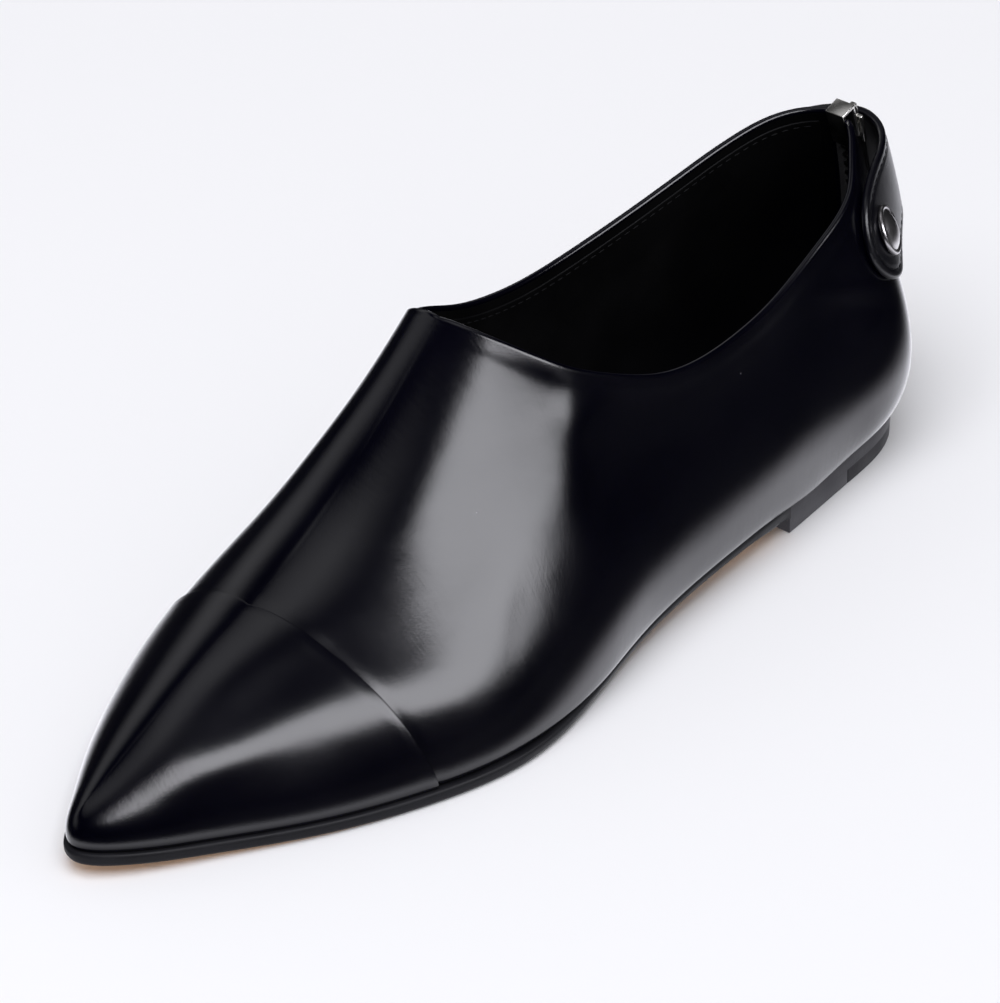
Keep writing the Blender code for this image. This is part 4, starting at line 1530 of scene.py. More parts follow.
@dataclass
class Upper:
    """Hollow upper with its rolled collar, lining and toe cap."""

    # Greatest value of t (1 - t)^2 for t from 0 to 1
    BOW_PEAK = 4.0 / 27.0

    last: Last
    finishes: Finishes
    wall: float = 1.8
    slit_half: float = 4.6
    slit_share: float = 4.0 / 14.0
    roll_steps: int = 8
    foot_limit: float = 20.0
    collar_lower: float = 0.5
    fold_height: float = 0.08
    fold_width: float = 5.0
    fold_soft: float = 2.6
    fold_samples: int = 150
    swell: float = 2.2
    swell_height: float = 40.0
    swell_from: Pair = (22.0, 50.0)
    swell_to: Pair = (140.0, 192.0)
    skirt_out: float = 1.6
    skirt_drop: float = 2.2
    skirt_reach: float = 14.0
    skirt_rise: Pair = (12.0, 50.0)
    skirt_from: Pair = (4.0, 74.0)
    skirt_to: Pair = (150.0, 190.0)
    waist_lift: float = 0.75
    waist_lift_from: Pair = (66.0, 92.0)
    tuck: float = 0.6
    tuck_reach: float = 1.0
    under_cap: float = 0.35
    cover_columns: float = 2.0
    wave_height: float = 0.10
    wave_lengths: Pair = (11.0, 23.0)
    wave_rise: float = 9.0
    wave_lean: float = 0.05
    wave_foot: Pair = (4.0, 14.0)
    wave_top: Pair = (2.0, 9.0)
    cap_proud: float = 0.7
    cap_thickness: float = 0.62
    cap_bead: float = 0.26
    cap_bead_at: float = 0.9
    cap_bead_width: float = 0.8
    cap_groove: float = 0.25
    cap_groove_width: float = 1.3
    lining_lower: float = 3.0
    lining_slit_half: float = 7.5
    lining_slit_share: float = 0.25
    lining_roll_steps: int = 4
    lining_thickness: float = 0.5
    lining_gap: float = 0.04
    seam_lower: float = 4.4
    seam_start: float = 1.5
    seam_samples: int = 120
    creases: tuple[Crease, ...] = (
        Crease((56.0, 51.0), (36.0, 43.5), 2.2, 0.35),
        Crease((52.0, 47.5), (38.0, 40.5), 3.0, -0.25),
        Crease((-60.0, 47.0), (-38.0, 38.0), 3.0, -0.25),
    )
    swells: tuple[Swell, ...] = (
        Swell(179.7, 53.0, 5.0, 14.5, 43.0, 0.48),
        Swell(151.9, 46.3, 10.3, 14.6, -3.0, 0.87),
        Swell(153.0, 58.0, 6.9, 14.1, 23.5, -0.55),
        Swell(183.2, 32.9, 5.0, 11.6, 47.0, 0.80),
        Swell(142.5, 58.2, 10.1, 5.6, 6.0, 0.46),
        Swell(212.2, 22.1, 23.4, 7.2, 0.0, 1.14),
        Swell(233.2, 29.7, 18.6, 4.0, -12.0, -0.77),
        Swell(254.0, 19.8, 14.2, 4.3, -10.0, 0.86),
    )
    swell_fade: float = 5.0
    stitching: Stitching = field(default_factory=Stitching)

    def build(self) -> None:
        """Builds upper, toe cap, lining and the collar's seam."""
        pattern = UpperPattern(self.last, self.slit_half, self.collar_lower)
        self.lower_skirt(pattern)
        slit_row = int(np.searchsorted(pattern.rows(), self.slit_share))
        faces = pattern.faces(0, pattern.count, pattern.back_slit(slit_row))
        maker = MeshMaker()
        sheet = pattern.sheet(self.relief(pattern), faces)
        sheet.rolled(maker, self.wall, self.roll_steps, 0, 1, self.is_foot)
        piece = maker.make("upper_leather", [self.finishes.leather, self.finishes.lining])
        settle(piece, Body.SHOE, ["upper"])
        self.build_cap(pattern)
        self.build_lining()

    def is_foot(self, edge: Array) -> bool:
        """Whether an open edge is the one that stands on the sole."""
        return bool(edge[:, 2].max() < self.foot_limit)

    def collar_line(self, lower: float, start: float, samples: int) -> tuple[Array, Array]:
        """Line along the collar from the slit's inner edge round the throat to its outer edge.

        Args:
            lower: distance below the collar.
            start: distance of the line's ends from the middle of the back.
            samples: points on each side.

        Returns:
            Places along the foot line and height numbers.
        """
        alongs, ups = [], []
        for side in (Side.INNER, Side.OUTER):
            throat = self.last.throat_along(side, lower)
            share = np.linspace(0.0, 1.0, samples)
            along = side * (start + (throat - start) * (1.0 - (1.0 - share) ** 2))
            alongs.append(along)
            ups.append(self.last.collar_up(along, lower))
        along = np.concatenate([alongs[0], alongs[1][::-1]])
        return along, np.concatenate([ups[0], ups[1][::-1]])

    def relief(self, pattern: UpperPattern) -> Array:
        """Distance of the leather from the last: fold, tuck, waves, creases, groove at the cap and swells.

        Args:
            pattern: places of the leather.

        Returns:
            Distances in the pattern's shape.
        """
        line = self.last.point(*self.collar_line(0.0, self.slit_half, self.fold_samples))
        collar = nearest_distance(pattern.points, line)
        fold = 1.0 - smooth_step(collar, self.fold_width - self.fold_soft, self.fold_width)
        tuck = np.exp(-pattern.above_foot / self.tuck_reach)
        covered = np.clip(-pattern.columns_behind_cap() / self.cover_columns, 0.0, 1.0)
        along, z = pattern.along, pattern.points[..., 2]
        length, drift = self.wave_lengths
        waves = np.sin(along / length + self.wave_lean * z) * np.sin(z / self.wave_rise + along / drift)
        calm = smooth_step(pattern.above_foot, *self.wave_foot)
        calm = calm * smooth_step(pattern.below_top, *self.wave_top)
        height = self.fold_height * fold - self.tuck * tuck - self.under_cap * covered
        height = height + self.wave_height * waves * calm * (1.0 - covered)
        for crease in self.creases:
            height = height + crease.relief(along, z)
        from_cap = nearest_distance(pattern.points, self.cap_edge(pattern))
        groove = np.exp(-(from_cap / self.cap_groove_width) ** 2)
        height = height - self.cap_groove * groove * (1.0 - covered)
        return height + self.soft_shape(pattern)

    @staticmethod
    def cap_edge(pattern: UpperPattern) -> Array:
        """Line of the toe cap's rear edge from the inner foot over the ridge to the outer foot."""
        cap = pattern.CAP_COLUMNS
        return np.concatenate([pattern.points[cap], pattern.points[pattern.count - cap][::-1]])

    def soft_shape(self, pattern: UpperPattern) -> Array:
        """Overhang of the outer wall, and swells that die out at the collar and the ridge.

        Args:
            pattern: places of the leather.

        Returns:
            Distances out from the last.
        """
        shape = self.overhang(pattern.along, pattern.above_foot)
        fade = smooth_step(pattern.below_top, 0.0, self.swell_fade)
        for swell in self.swells:
            shape = shape + fade * swell.relief(pattern.along, pattern.points[..., 2])
        return shape

    def skirt(self, along: Array) -> Array:
        """Share of the skirt along the foot line: full along the outer waist only."""
        return between(along, self.skirt_from, self.skirt_to)

    def lower_skirt(self, pattern: UpperPattern) -> None:
        """Lets the foot of the outer wall hang down over the sole's edge, less so along the waist.

        Args:
            pattern: places of the leather, which are moved.
        """
        low = 1.0 - smooth_step(pattern.above_foot, 0.0, self.skirt_reach)
        lifted = 1.0 - self.waist_lift * smooth_step(pattern.along, *self.waist_lift_from)
        pattern.points[..., 2] -= self.skirt_drop * low * lifted * self.skirt(pattern.along)

    def overhang(self, along: Array, above_foot: Array) -> Array:
        """Swell of the outer wall, which stands out over the sole and rolls in under itself.

        Args:
            along: places along the foot line.
            above_foot: distances up the wall from its foot.

        Returns:
            Distances out from the last.
        """
        share = np.clip(above_foot / self.swell_height, 0.0, 1.0)
        bow = share * (1.0 - share) ** 2 / self.BOW_PEAK
        swell = self.swell * bow * between(along, self.swell_from, self.swell_to)
        skirt = self.skirt_out * self.skirt(along) * (1.0 - smooth_step(above_foot, *self.skirt_rise))
        return swell + skirt

    def build_cap(self, pattern: UpperPattern) -> None:
        """Builds the toe cap over the upper.

        Args:
            pattern: pattern of the upper.
        """
        cap = pattern.CAP_COLUMNS
        away = nearest_distance(pattern.points, self.cap_edge(pattern))
        bead = self.cap_bead * np.exp(-((away - self.cap_bead_at) / self.cap_bead_width) ** 2)
        tuck = self.tuck * np.exp(-pattern.above_foot / self.tuck_reach)
        offset = self.cap_proud + bead - tuck + self.soft_shape(pattern)
        maker = MeshMaker()
        pattern.sheet(offset, pattern.faces(-cap, cap)).rolled(maker, self.cap_thickness, self.roll_steps)
        settle(maker.make("toe_cap_leather", [self.finishes.leather]), Body.SHOE, ["toe_cap"])

    def build_lining(self) -> None:
        """Builds the lining, whose edge is sewn inside the collar."""
        pattern = UpperPattern(self.last, self.lining_slit_half, self.lining_lower)
        slit = pattern.back_slit(int(pattern.ROWS * self.lining_slit_share))
        maker = MeshMaker()
        depth = self.wall + self.lining_gap
        sheet = pattern.sheet(-depth, pattern.faces(0, pattern.count, slit))
        sheet.rolled(maker, self.lining_thickness, self.lining_roll_steps, 0, 0, self.is_foot)
        settle(maker.make("upper_lining", [self.finishes.lining]), Body.SHOE)
        start = self.lining_slit_half + self.seam_start
        along, up = self.collar_line(self.seam_lower, start, self.seam_samples)
        inward = -self.last.normal(along, up)
        path = self.last.point(along, up) + inward * (depth + self.lining_thickness)
        maker = MeshMaker()
        self.stitching.sew(maker, path, inward)
        settle(maker.make("collar_seam", [self.finishes.thread]), Body.SHOE)


@dataclass
class Strap:
    """Strap round the back of the heel: sewn D end inside, rounded end with a snap outside."""

    last: Last
    finishes: Finishes
    half_width: float = 10.3
    thickness: float = 1.8
    back_height: float = 57.5
    drop: float = 4.6
    reach: float = 38.0
    tab_reach: float = 46.0
    bulge_reach: float = 27.0
    standoff: float = 0.4
    sewn_standoff: float = 0.08
    sewn_from: Pair = (24.0, 34.0)
    bulge: float = 5.0
    columns: int = 150
    bands: int = 30
    end_limit: float = 0.995
    roll_steps: int = 10
    seam_inset: float = 2.1
    arc_samples: int = 40
    side_samples: int = 80
    groove_depth: float = 0.16
    groove_width: float = 0.45
    tab_from: float = -27.0
    tab_rise: float = 0.45
    tab_step: float = 0.4
    snap_from_end: float = 10.5
    snap_profile: tuple[Pair, ...] = (
        (5.7, -0.3), (6.0, 0.0), (6.0, 0.5), (5.85, 0.85), (5.5, 1.0), (5.15, 0.9), (4.95, 0.75), (4.7, 0.8),
        (4.2, 1.15), (3.2, 1.65), (2.0, 2.0), (0.9, 2.17))
    snap_height: float = 2.2
    snap_sides: int = 64
    stitching: Stitching = field(default_factory=Stitching)

    @property
    def middle(self) -> float:
        """Place of the strap's middle along the foot line."""
        return (self.reach - self.tab_reach) / 2.0

    @property
    def half_length(self) -> float:
        """Half the strap's length along the foot line."""
        return (self.reach + self.tab_reach) / 2.0

    def middle_height(self, along: Array) -> Array:
        """Height of the strap's middle line, which falls away from the back on both sides."""
        return self.back_height - self.drop * np.abs(along) / self.reach

    def gap(self, along: Array) -> Array:
        """Distance of the inner face from the upper: the strap stands off round the back.

        Args:
            along: places along the foot line.

        Returns:
            A distance for each place.
        """
        bow = np.cos(np.clip(along / self.bulge_reach, -1.0, 1.0) * math.pi / 2.0) ** 2
        sewn = smooth_step(-np.asarray(along, float), *self.sewn_from)
        return self.standoff + (self.sewn_standoff - self.standoff) * sewn + self.bulge * bow

    def inset(self, along: Array, height: Array) -> Array:
        """Distance of places on the strap from its outline.

        Args:
            along: places along the foot line.
            height: heights over the strap's middle line.

        Returns:
            Distances inwards.
        """
        straight = self.half_length - self.half_width
        past = np.maximum(np.abs(along - self.middle) - straight, 0.0)
        return self.half_width - np.hypot(past, height)

    def face(self, along: Array, height: Array) -> tuple[Array, Array]:
        """Outer face of the strap.

        Args:
            along: places along the foot line.
            height: heights over the strap's middle line.

        Returns:
            Points and outward normals.
        """
        up = self.last.up_at_height(along, self.middle_height(along) + height)
        points, normals = self.last.point(along, up), self.last.normal(along, up)
        inset = self.inset(along, height)
        groove = self.groove_depth * np.exp(-((inset - self.seam_inset) / self.groove_width) ** 2)
        tab = self.tab_rise * smooth_step(self.tab_from - along, -self.tab_step, self.tab_step)
        out = self.gap(along) + self.thickness + tab - groove
        return points + normals * out[..., None], normals

    def build(self) -> None:
        """Builds strap, stitches and snap."""
        rim = self.thickness / 2.0
        half_length, end_radius = self.half_length - rim, self.half_width - rim
        turn = np.linspace(-self.end_limit, self.end_limit, self.columns + 1)
        along = self.middle + half_length * np.sin(turn * math.pi / 2.0)
        past = (np.abs(along - self.middle) - half_length + end_radius) / end_radius
        half_width = end_radius * np.sqrt(1.0 - np.clip(past, 0.0, self.end_limit) ** 2)
        heights = half_width[:, None] * np.linspace(-1.0, 1.0, self.bands + 1)
        places = np.broadcast_to(along[:, None], heights.shape)
        points, normals = self.face(places, heights)
        sheet = Sheet.from_grid(points, normals, np.stack([places, heights], axis=-1))
        maker = MeshMaker()
        sheet.rolled(maker, self.thickness, self.roll_steps, 0, 1)
        piece = maker.make("heel_strap_leather", [self.finishes.strap, self.finishes.lining])
        settle(piece, Body.SHOE, ["heel_strap"])
        self.sew()
        self.build_snap()

    def sew(self) -> None:
        """Sews the row of stitches that follows the strap's outline."""
        radius = self.half_width - self.seam_inset
        straight = self.half_length - self.half_width
        arc = np.linspace(-math.pi / 2.0, math.pi / 2.0, self.arc_samples)
        end, rising = straight + radius * np.cos(arc), radius * np.sin(arc)
        side = np.linspace(-1.0, 1.0, self.side_samples) * straight
        top = np.full(self.side_samples, radius)
        along = np.concatenate([end, -side, -end, side])
        height = np.concatenate([rising, top, -rising, -top])
        path, normals = self.face(self.middle + along, height)
        maker = MeshMaker()
        self.stitching.sew(maker, path, normals)
        settle(maker.make("strap_seam", [self.finishes.thread]), Body.SHOE)

    def build_snap(self) -> None:
        """Turns the snap's dome with its rim."""
        along = np.array([self.reach - self.snap_from_end])
        path, normals = self.face(along, np.zeros(1))
        seat, out = path[0], normals[0]
        first = unit(np.cross(out, [0.0, 0.0, 1.0]))
        second = np.cross(out, first)
        turn = 2.0 * math.pi * np.arange(self.snap_sides) / self.snap_sides
        spokes = np.cos(turn)[:, None] * first + np.sin(turn)[:, None] * second
        rings = np.array(self.snap_profile)
        points = seat + spokes[:, None, :] * rings[:, 0][:, None] + out * rings[:, 1][:, None]
        count, rows = self.snap_sides, len(rings)
        faces = grid_faces(count, rows, close=True)
        top = count * rows
        faces += [(i * rows + rows - 1, (i + 1) % count * rows + rows - 1, top) for i in range(count)]
        faces.append(tuple(i * rows for i in range(count)))
        maker = MeshMaker()
        maker.add(np.vstack([points.reshape(-1, 3), seat + out * self.snap_height]), faces)
        settle(maker.make("snap_dome", [self.finishes.snap]), Body.SHOE, ["snap_cap"])


class BackFrame:
    """Directions in the shoe's middle plane: up along the back of the heel, out from it, and sideways."""

    def __init__(self, origin: Array, up: Array) -> None:
        """Takes the frame's place.

        Args:
            origin: origin of the frame.
            up: direction up along the back.
        """
        self.origin = origin
        self.up = unit(up)
        self.out = np.array([-self.up[2], 0.0, self.up[0]])
        self.side = np.array([0.0, 1.0, 0.0])

    def point(self, out: Array | float, side: Array | float, up: Array | float) -> Array:
        """Places from the three distances."""
        out, side, up = (np.asarray(value, float)[..., None] for value in (out, side, up))
        return self.origin + self.out * out + self.side * side + self.up * up

    def prism(self, maker: MeshMaker, outline: Sequence[Pair],
              half_at: Callable[[float], float]) -> None:
        """Adds a solid from an outline of out and up corners.

        Args:
            maker: collects the solid.
            outline: corners as distances out and up.
            half_at: half width at a distance up.
        """
        right = [self.point(out, -half_at(up), up) for out, up in outline]
        left = [self.point(out, half_at(up), up) for out, up in outline]
        count = len(outline)
        faces: list[Face] = [tuple(range(count)), tuple(reversed(range(count, 2 * count)))]
        faces += [(i, i + count, (i + 1) % count + count, (i + 1) % count) for i in range(count)]
        maker.add(np.array(right + left), faces)


@dataclass
class Zip:
    """Zip up the back: tape, teeth, slider and the pull that swings on it."""

    TOOTH_FACES = ((0, 1, 3, 2), (4, 6, 7, 5), (0, 4, 5, 1), (2, 3, 7, 6), (0, 2, 6, 4), (1, 5, 7, 3))

    last: Last
    finishes: Finishes
    tape_half: float = 4.35
    tape_depth: float = 0.7
    tape_thickness: float = 0.6
    foot_share: float = 0.30
    top_share: float = 0.985
    tape_columns: int = 14
    tape_rows: int = 60
    tape_roll_steps: int = 4
    tooth_pitch: float = 1.35
    tooth_rise: float = 0.95
    tooth_reach: Pair = (-0.6, 1.85)
    tooth_depth: Pair = (-1.9, 0.35)
    tooth_bevel: float = 0.14
    slider_tangent: float = 0.08
    slider_top: float = 2.0
    slider_neck: float = 0.9
    slider_foot: float = -8.0
    slider_face: Pair = (0.6, 1.5)
    slider_back: Pair = (-3.3, -2.7)
    slider_half_top: float = 2.6
    slider_half_foot: float = 2.3
    slider_bevel: float = 0.28
    facing_in: float = -0.6
    bridge_half: float = 0.8
    bridge_up: Pair = (-7.4, -0.6)
    bridge_leg: float = 1.0
    bridge_out: Pair = (3.4, 4.2)
    pivot_out: float = 2.6
    pivot_up: float = -3.6
    pull_end_height: float = 46.0
    pull_end_out: float = 2.4
    loop_half: float = 3.0
    loop_window: float = 1.5
    loop_head: float = 0.8
    loop_window_end: float = 5.2
    loop_end: float = 6.6
    loop_thickness: float = 1.1
    loop_bevel: float = 0.26
    tab_start: float = 5.6
    tab_end: float = 24.0
    tab_half: float = 2.9
    tab_thickness: float = 1.15
    tab_columns: int = 13
    tab_rows: int = 40
    tab_roll_steps: int = 8

    def build(self) -> None:
        """Builds the zip from the tape out."""
        self.build_tape()
        self.build_teeth()
        slider = self.slider_frame()
        self.build_slider(slider)
        self.build_pull(slider)

    def back_point(self, up: Array, outward: float) -> Array:
        """Point off the middle of the back, in the shoe's middle plane.

        Args:
            up: height number.
            outward: distance from the last.

        Returns:
            The point.
        """
        middle = np.array([0.0])
        point = self.last.point(middle, up)[0] + self.last.normal(middle, up)[0] * outward
        return point * np.array([1.0, 0.0, 1.0])

    def slider_frame(self) -> BackFrame:
        """Frame of the slider.

        Returns:
            A frame with its origin on the collar.
        """
        cut = self.last.collar_up(np.array([0.0]))
        top = self.back_point(cut, 0.0)
        return BackFrame(top, top - self.back_point(cut - self.slider_tangent, 0.0))

    def build_tape(self) -> None:
        """Builds the woven tape in the slit."""
        across = np.linspace(-self.tape_half, self.tape_half, self.tape_columns + 1)
        share = np.linspace(self.foot_share, self.top_share, self.tape_rows + 1)
        along = np.broadcast_to(across[:, None], (len(across), len(share)))
        up = self.last.collar_up(across)[:, None] * share
        normals = self.last.normal(along, up)
        points = self.last.point(along, up) - normals * self.tape_depth
        sheet = Sheet.from_grid(points, normals, np.stack([along, points[..., 2]], axis=-1))
        maker = MeshMaker()
        sheet.rolled(maker, self.tape_thickness, self.tape_roll_steps)
        settle(maker.make("zip_tape_weave", [self.finishes.tape]), Body.SHOE, ["zip_chain"])

    def build_teeth(self) -> None:
        """Builds the teeth, which come from the two sides in turn."""
        middle = np.array([0.0])
        cut = float(self.last.collar_up(middle)[0])
        foot = float(self.last.point(middle, cut * self.foot_share)[0, 2]) + self.tooth_pitch
        top = float(self.last.point(middle, cut * self.top_share)[0, 2]) - self.tooth_pitch
        count = int((top - foot) / self.tooth_pitch)
        maker = MeshMaker()
        for number in range(count):
            side = 1.0 if number % 2 else -1.0
            height = foot + (number + 0.5) * self.tooth_pitch
            corners = []
            for reach in self.tooth_reach:
                for rise in (-0.5, 0.5):
                    along = np.array([side * reach])
                    up = self.last.up_at_height(along, np.array([height + rise * self.tooth_rise]))
                    point, normal = self.last.point(along, up)[0], self.last.normal(along, up)[0]
                    corners += [point + normal * depth for depth in self.tooth_depth]
            maker.add(np.array(corners), self.TOOTH_FACES)
        piece = maker.make("zip_teeth", [self.finishes.teeth], bevel=self.tooth_bevel)
        settle(piece, Body.SHOE)

    def build_slider(self, place: BackFrame) -> None:
        """Builds the slider with its bridge.

        Args:
            place: frame of the slider.
        """
        face_in, face_out = self.slider_face
        back_in, back_out = self.slider_back
        body = [
            (back_in, self.slider_foot), (back_in, self.slider_top), (face_out, self.slider_top),
            (face_out, self.slider_foot), (face_in, self.slider_foot), (face_in, self.slider_neck),
            (back_out, self.slider_neck), (back_out, self.slider_foot),
        ]
        slope = (self.slider_half_top - self.slider_half_foot) / (self.slider_top - self.slider_foot)
        maker = MeshMaker()
        place.prism(maker, body, lambda up: self.slider_half_top + slope * (up - self.slider_top))
        low, high = self.bridge_up
        inner, outer = self.bridge_out
        sunk = (face_in + face_out) / 2.0
        arch = [
            (sunk, low), (outer, low), (outer, high), (sunk, high), (sunk, high - self.bridge_leg),
            (inner, high - self.bridge_leg), (inner, low + self.bridge_leg), (sunk, low + self.bridge_leg),
        ]
        place.prism(maker, arch, lambda up: self.bridge_half)
        materials = [self.finishes.slider, self.finishes.teeth]
        piece = maker.make("zip_slider_metal", materials, bevel=self.slider_bevel)
        for polygon in piece.data.polygons:
            if np.dot(polygon.normal, place.out) < self.facing_in:
                polygon.material_index = materials.index(self.finishes.teeth)
        settle(piece, Body.SHOE, ["zip_slider"])

    def build_pull(self, slider: BackFrame) -> None:
        """Builds the pull: a metal loop round the bridge and a leather tab below it.

        Args:
            slider: frame of the slider.
        """
        pivot = slider.point(self.pivot_out, 0.0, self.pivot_up)
        low = self.last.up_at_height(np.array([0.0]), np.array([self.pull_end_height]))
        place = BackFrame(pivot, pivot - self.back_point(low, self.pull_end_out))
        half = self.loop_thickness / 2.0
        loop = [(self.loop_half, self.loop_head), (self.loop_half, -self.loop_end),
                (-self.loop_half, -self.loop_end), (-self.loop_half, self.loop_head)]
        window = [(self.loop_window, -self.loop_head), (self.loop_window, -self.loop_window_end),
                  (-self.loop_window, -self.loop_window_end), (-self.loop_window, -self.loop_head)]
        points = [place.point(out, side, up) for out in (half, -half) for side, up in loop + window]
        front, hole, back, back_hole = np.arange(len(points)).reshape(-1, len(loop))
        faces: list[Face] = []
        for i in range(len(loop)):
            j = (i + 1) % len(loop)
            faces += [(front[i], front[j], hole[j], hole[i]), (back[j], back[i], back_hole[i], back_hole[j]),
                      (front[i], back[i], back[j], front[j]), (hole[i], hole[j], back_hole[j], back_hole[i])]
        maker = MeshMaker()
        maker.add(np.array(points), faces)
        piece = maker.make("pull_loop", [self.finishes.slider], bevel=self.loop_bevel)
        settle(piece, Body.PULL, ["zip_pull"])
        rim = self.tab_thickness / 2.0
        rows = np.linspace(-self.tab_start, -self.tab_end + rim, self.tab_rows)
        columns = np.linspace(-1.0, 1.0, self.tab_columns) * (self.tab_half - rim)
        side, up = np.broadcast_arrays(columns[:, None], rows[None, :])
        points = place.point(rim, side, up)
        normals = np.broadcast_to(place.out, points.shape)
        sheet = Sheet.from_grid(points, normals, np.stack([side, up], axis=-1))
        maker = MeshMaker()
        sheet.rolled(maker, self.tab_thickness, self.tab_roll_steps)
        settle(maker.make("pull_tab_leather", [self.finishes.lining]), Body.PULL)


class LampUse(Enum):
    """What a lamp lights."""

    GLOSS = "mirrored by what is glossy"
    FILL = "soft light on what is dull"


@dataclass(frozen=True)
class SoftLight:
    """Rectangular lamp that looks at the shoe.

    turn and rise are degrees from the shoe's toe and the floor, roll turns the lamp round its own axis.
    """

    name: str
    use: LampUse
    turn: float
    rise: float
    distance: float
    width: float
    height: float
    roll: float
    watts: float
    colour: Colour = (0.985, 0.985, 1.04)

    def hang(self, target: Vector) -> None:
        """Places the lamp.

        Args:
            target: point that it looks at.
        """
        data = bpy.data.lights.new(self.name, "AREA")
        data.shape = "RECTANGLE"
        data.size, data.size_y = self.width, self.height
        data.energy = self.watts
        data.color = self.colour
        lamp = bpy.data.objects.new(self.name, data)
        turn, rise = math.radians(self.turn), math.radians(self.rise)
        away = Vector((math.cos(turn) * math.cos(rise), math.sin(turn) * math.cos(rise), math.sin(rise)))
        lamp.location = target + away * self.distance
        spin = Quaternion((0.0, 0.0, 1.0), math.radians(self.roll))
        lamp.rotation_euler = (away.to_track_quat("Z", "Y") @ spin).to_euler()
        lamp.visible_camera = False
        lamp.visible_diffuse = self.use is LampUse.FILL
        lamp.visible_glossy = self.use is LampUse.GLOSS
        bpy.context.scene.collection.objects.link(lamp)


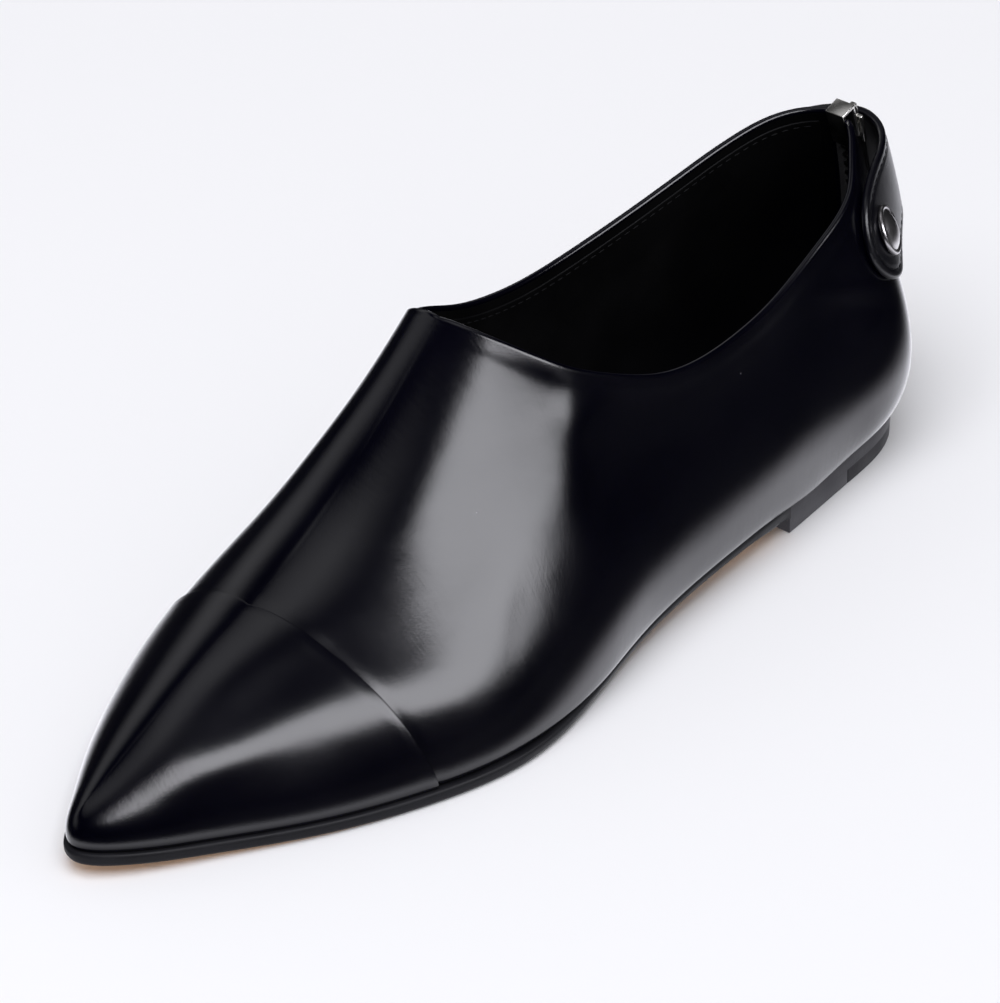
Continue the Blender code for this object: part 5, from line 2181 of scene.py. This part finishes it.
@dataclass
class Studio:
    """Pale floor, soft lights and the photograph's camera."""

    eye: tuple[float, float, float] = (998.0, 734.7, 768.5)
    bearing_deg: float = 228.3
    pitch_deg: float = 31.4
    roll_deg: float = 1.8
    focal_pixels: float = 6080.0
    picture_pixels: float = 1003.0
    sensor: float = 36.0
    aim: tuple[float, float, float] = (0.00443, 0.0, 0.030)
    floor_half: float = 4.0
    floor_colour: Colour = (0.90, 0.90, 0.90)
    floor_roughness: float = 0.8
    floor_specular: float = 0.1
    mottle_scale: float = 3.0
    mottle_dark: float = 0.985
    # Painted glow of the floor, seen by mirrored rays only; it fades out between the steep and flat slants
    painted_floor_glow: Colour = (1.95, 1.95, 2.1)
    mirror_under: float = 0.12
    mirror_steep: float = 0.49
    mirror_flat: float = 0.70
    # Painted shade: share of the painted glow left where mirrored rays strike the floor steeply, beside the
    # shoe
    painted_glow_shade: float = 0.22
    backdrop: float = 0.90
    ambient: float = 0.42
    gloom: float = 0.004
    ceiling: float = 0.95
    ceiling_rise: Pair = (0.79, 1.0)
    ceiling_turn: Pair = (0.22, -0.05)
    wall: float = 0.55
    wall_rise: tuple[float, float, float, float] = (0.10, 0.34, 0.50, 0.66)
    wall_turn: Pair = (-0.15, -0.55)
    room_colour: Colour = (0.97, 0.97, 1.0)
    lights: tuple[SoftLight, ...] = (
        SoftLight("strip_box", LampUse.GLOSS, 87.0, 41.2, 2.5, 3.09, 1.18, -26.4, 100.0),
        SoftLight("overhead", LampUse.FILL, 30.0, 72.0, 2.5, 2.4, 2.4, 0.0, 58.0),
    )

    def build(self) -> None:
        """Builds floor, lights, world and camera."""
        self.lay_floor()
        target = Vector(self.aim)
        for light in self.lights:
            light.hang(target)
        self.set_world()
        self.set_camera(target)
        bpy.context.scene.view_settings.view_transform = "Standard"

    def lay_floor(self) -> None:
        """Lays the floor, faintly uneven in tone, which mirrored rays see only as a painted glow."""
        half = self.floor_half
        mesh = bpy.data.meshes.new("studio_floor")
        corners = [(-half, -half, 0.0), (half, -half, 0.0), (half, half, 0.0), (-half, half, 0.0)]
        mesh.from_pydata(corners, [], [(0, 1, 2, 3)])
        paper = bpy.data.materials.new("pale_paper")
        paper.use_nodes = True
        tree = paper.node_tree
        shader = tree.nodes["Principled BSDF"]
        shader.inputs["Roughness"].default_value = self.floor_roughness
        shader.inputs["Specular IOR Level"].default_value = self.floor_specular
        mottle = add_node(tree, "TexNoise", {"Scale": self.mottle_scale, "Detail": 2.0}).outputs["Fac"]
        shade = map_value(tree, mottle, 0.0, 1.0, self.mottle_dark, 1.0)
        colour = scale_vector(tree, self.floor_colour, shade)
        # Mirrored rays see none of the floor's own colour
        glossy = add_node(tree, "LightPath").outputs["Is Glossy Ray"]
        plain = math_value(tree, "SUBTRACT", 1.0, glossy)
        tree.links.new(scale_vector(tree, colour, plain), shader.inputs["Base Color"])
        # Painted glow for mirrored rays, gone at grazing slants and dimmed by painted shade at steep ones,
        # beside the shoe
        slant = add_node(tree, "LayerWeight", {"Blend": 0.5}).outputs["Facing"]
        near = map_value(tree, slant, self.mirror_steep, self.mirror_flat, 1.0, 0.0)
        under = map_value(tree, slant, self.mirror_under, self.mirror_steep, self.painted_glow_shade)
        shown = math_value(tree, "MULTIPLY", math_value(tree, "MULTIPLY", near, under), glossy)
        tree.links.new(scale_vector(tree, self.painted_floor_glow, shown), shader.inputs["Emission Color"])
        shader.inputs["Emission Strength"].default_value = 1.0
        paper.cycles.emission_sampling = "NONE"
        mesh.materials.append(paper)
        floor = bpy.data.objects.new("studio_floor", mesh)
        bpy.context.scene.collection.objects.link(floor)

    def set_world(self) -> None:
        """Pale backdrop for the camera, even light for what is dull, a dark room for what is glossy.

        The room has a glow from its ceiling and from its far wall.
        """
        world = bpy.data.worlds.new("studio")
        bpy.context.scene.world = world
        world.use_nodes = True
        tree = world.node_tree
        path = add_node(tree, "LightPath").outputs
        level = map_value(tree, path["Is Camera Ray"], 0.0, 1.0, self.ambient, self.backdrop)
        heading = add_node(tree, "TexCoord").outputs["Generated"]
        way = add_node(tree, "SeparateXYZ", {"Vector": heading}).outputs
        rise = map_value(tree, way["Z"], *self.ceiling_rise, high=self.ceiling)
        turn = map_value(tree, way["Y"], *self.ceiling_turn)
        glow = math_value(tree, "MULTIPLY", rise, turn)
        start, full, fade, end = self.wall_rise
        low = map_value(tree, way["Z"], start, full, high=self.wall)
        high = map_value(tree, way["Z"], end, fade)
        side = map_value(tree, way["Y"], *self.wall_turn)
        band = math_value(tree, "MULTIPLY", low, high)
        far = math_value(tree, "MULTIPLY_ADD", band, side, self.gloom)
        dim = math_value(tree, "ADD", glow, far)
        mixed = add_node(tree, "Mix", dict(zip(MIX_NUMBERS, (path["Is Glossy Ray"], level, dim))))
        background = tree.nodes["Background"]
        tree.links.new(mixed.outputs[MIXED_NUMBER], background.inputs["Strength"])
        background.inputs["Color"].default_value = (*self.room_colour, 1.0)

    def set_camera(self, target: Vector) -> None:
        """Places the camera where the photograph was taken, turned until the shoe is in the middle.

        Args:
            target: point in the middle of the picture.
        """
        angles = self.bearing_deg, self.pitch_deg, self.roll_deg
        turn, pitch, roll = (math.radians(angle) for angle in angles)
        flat = math.cos(pitch)
        toward = Vector((math.sin(turn) * flat, math.cos(turn) * flat, -math.sin(pitch)))
        level = Vector((math.cos(turn), -math.sin(turn), 0.0))
        rising = level.cross(toward)
        right = level * math.cos(roll) - rising * math.sin(roll)
        above = level * math.sin(roll) + rising * math.cos(roll)
        eye = Vector((np.array(self.eye) - LAST_TO_FRAME) * MM)
        swing = toward.rotation_difference(target - eye)
        axes = [swing @ axis for axis in (right, above, -toward)]
        data = bpy.data.cameras.new("photo_camera")
        data.sensor_width = self.sensor
        data.lens = self.focal_pixels * self.sensor / self.picture_pixels
        camera = bpy.data.objects.new("photo_camera", data)
        camera.matrix_world = Matrix.Translation(eye) @ Matrix(axes).transposed().to_4x4()
        bpy.context.scene.collection.objects.link(camera)
        bpy.context.scene.camera = camera


def main() -> None:
    """Dresses the shoe from the sole up, then lights it."""
    logging.basicConfig(level=logging.INFO, format="%(name)s: %(message)s")
    sole = SoleLine()
    last = Last(sole)
    finishes = Finishes.mixed()
    SoleUnit(last, sole, finishes).build()
    Upper(last, finishes).build()
    Strap(last, finishes).build()
    Zip(last, finishes).build()
    Studio().build()


if __name__ == "__main__":
    main()
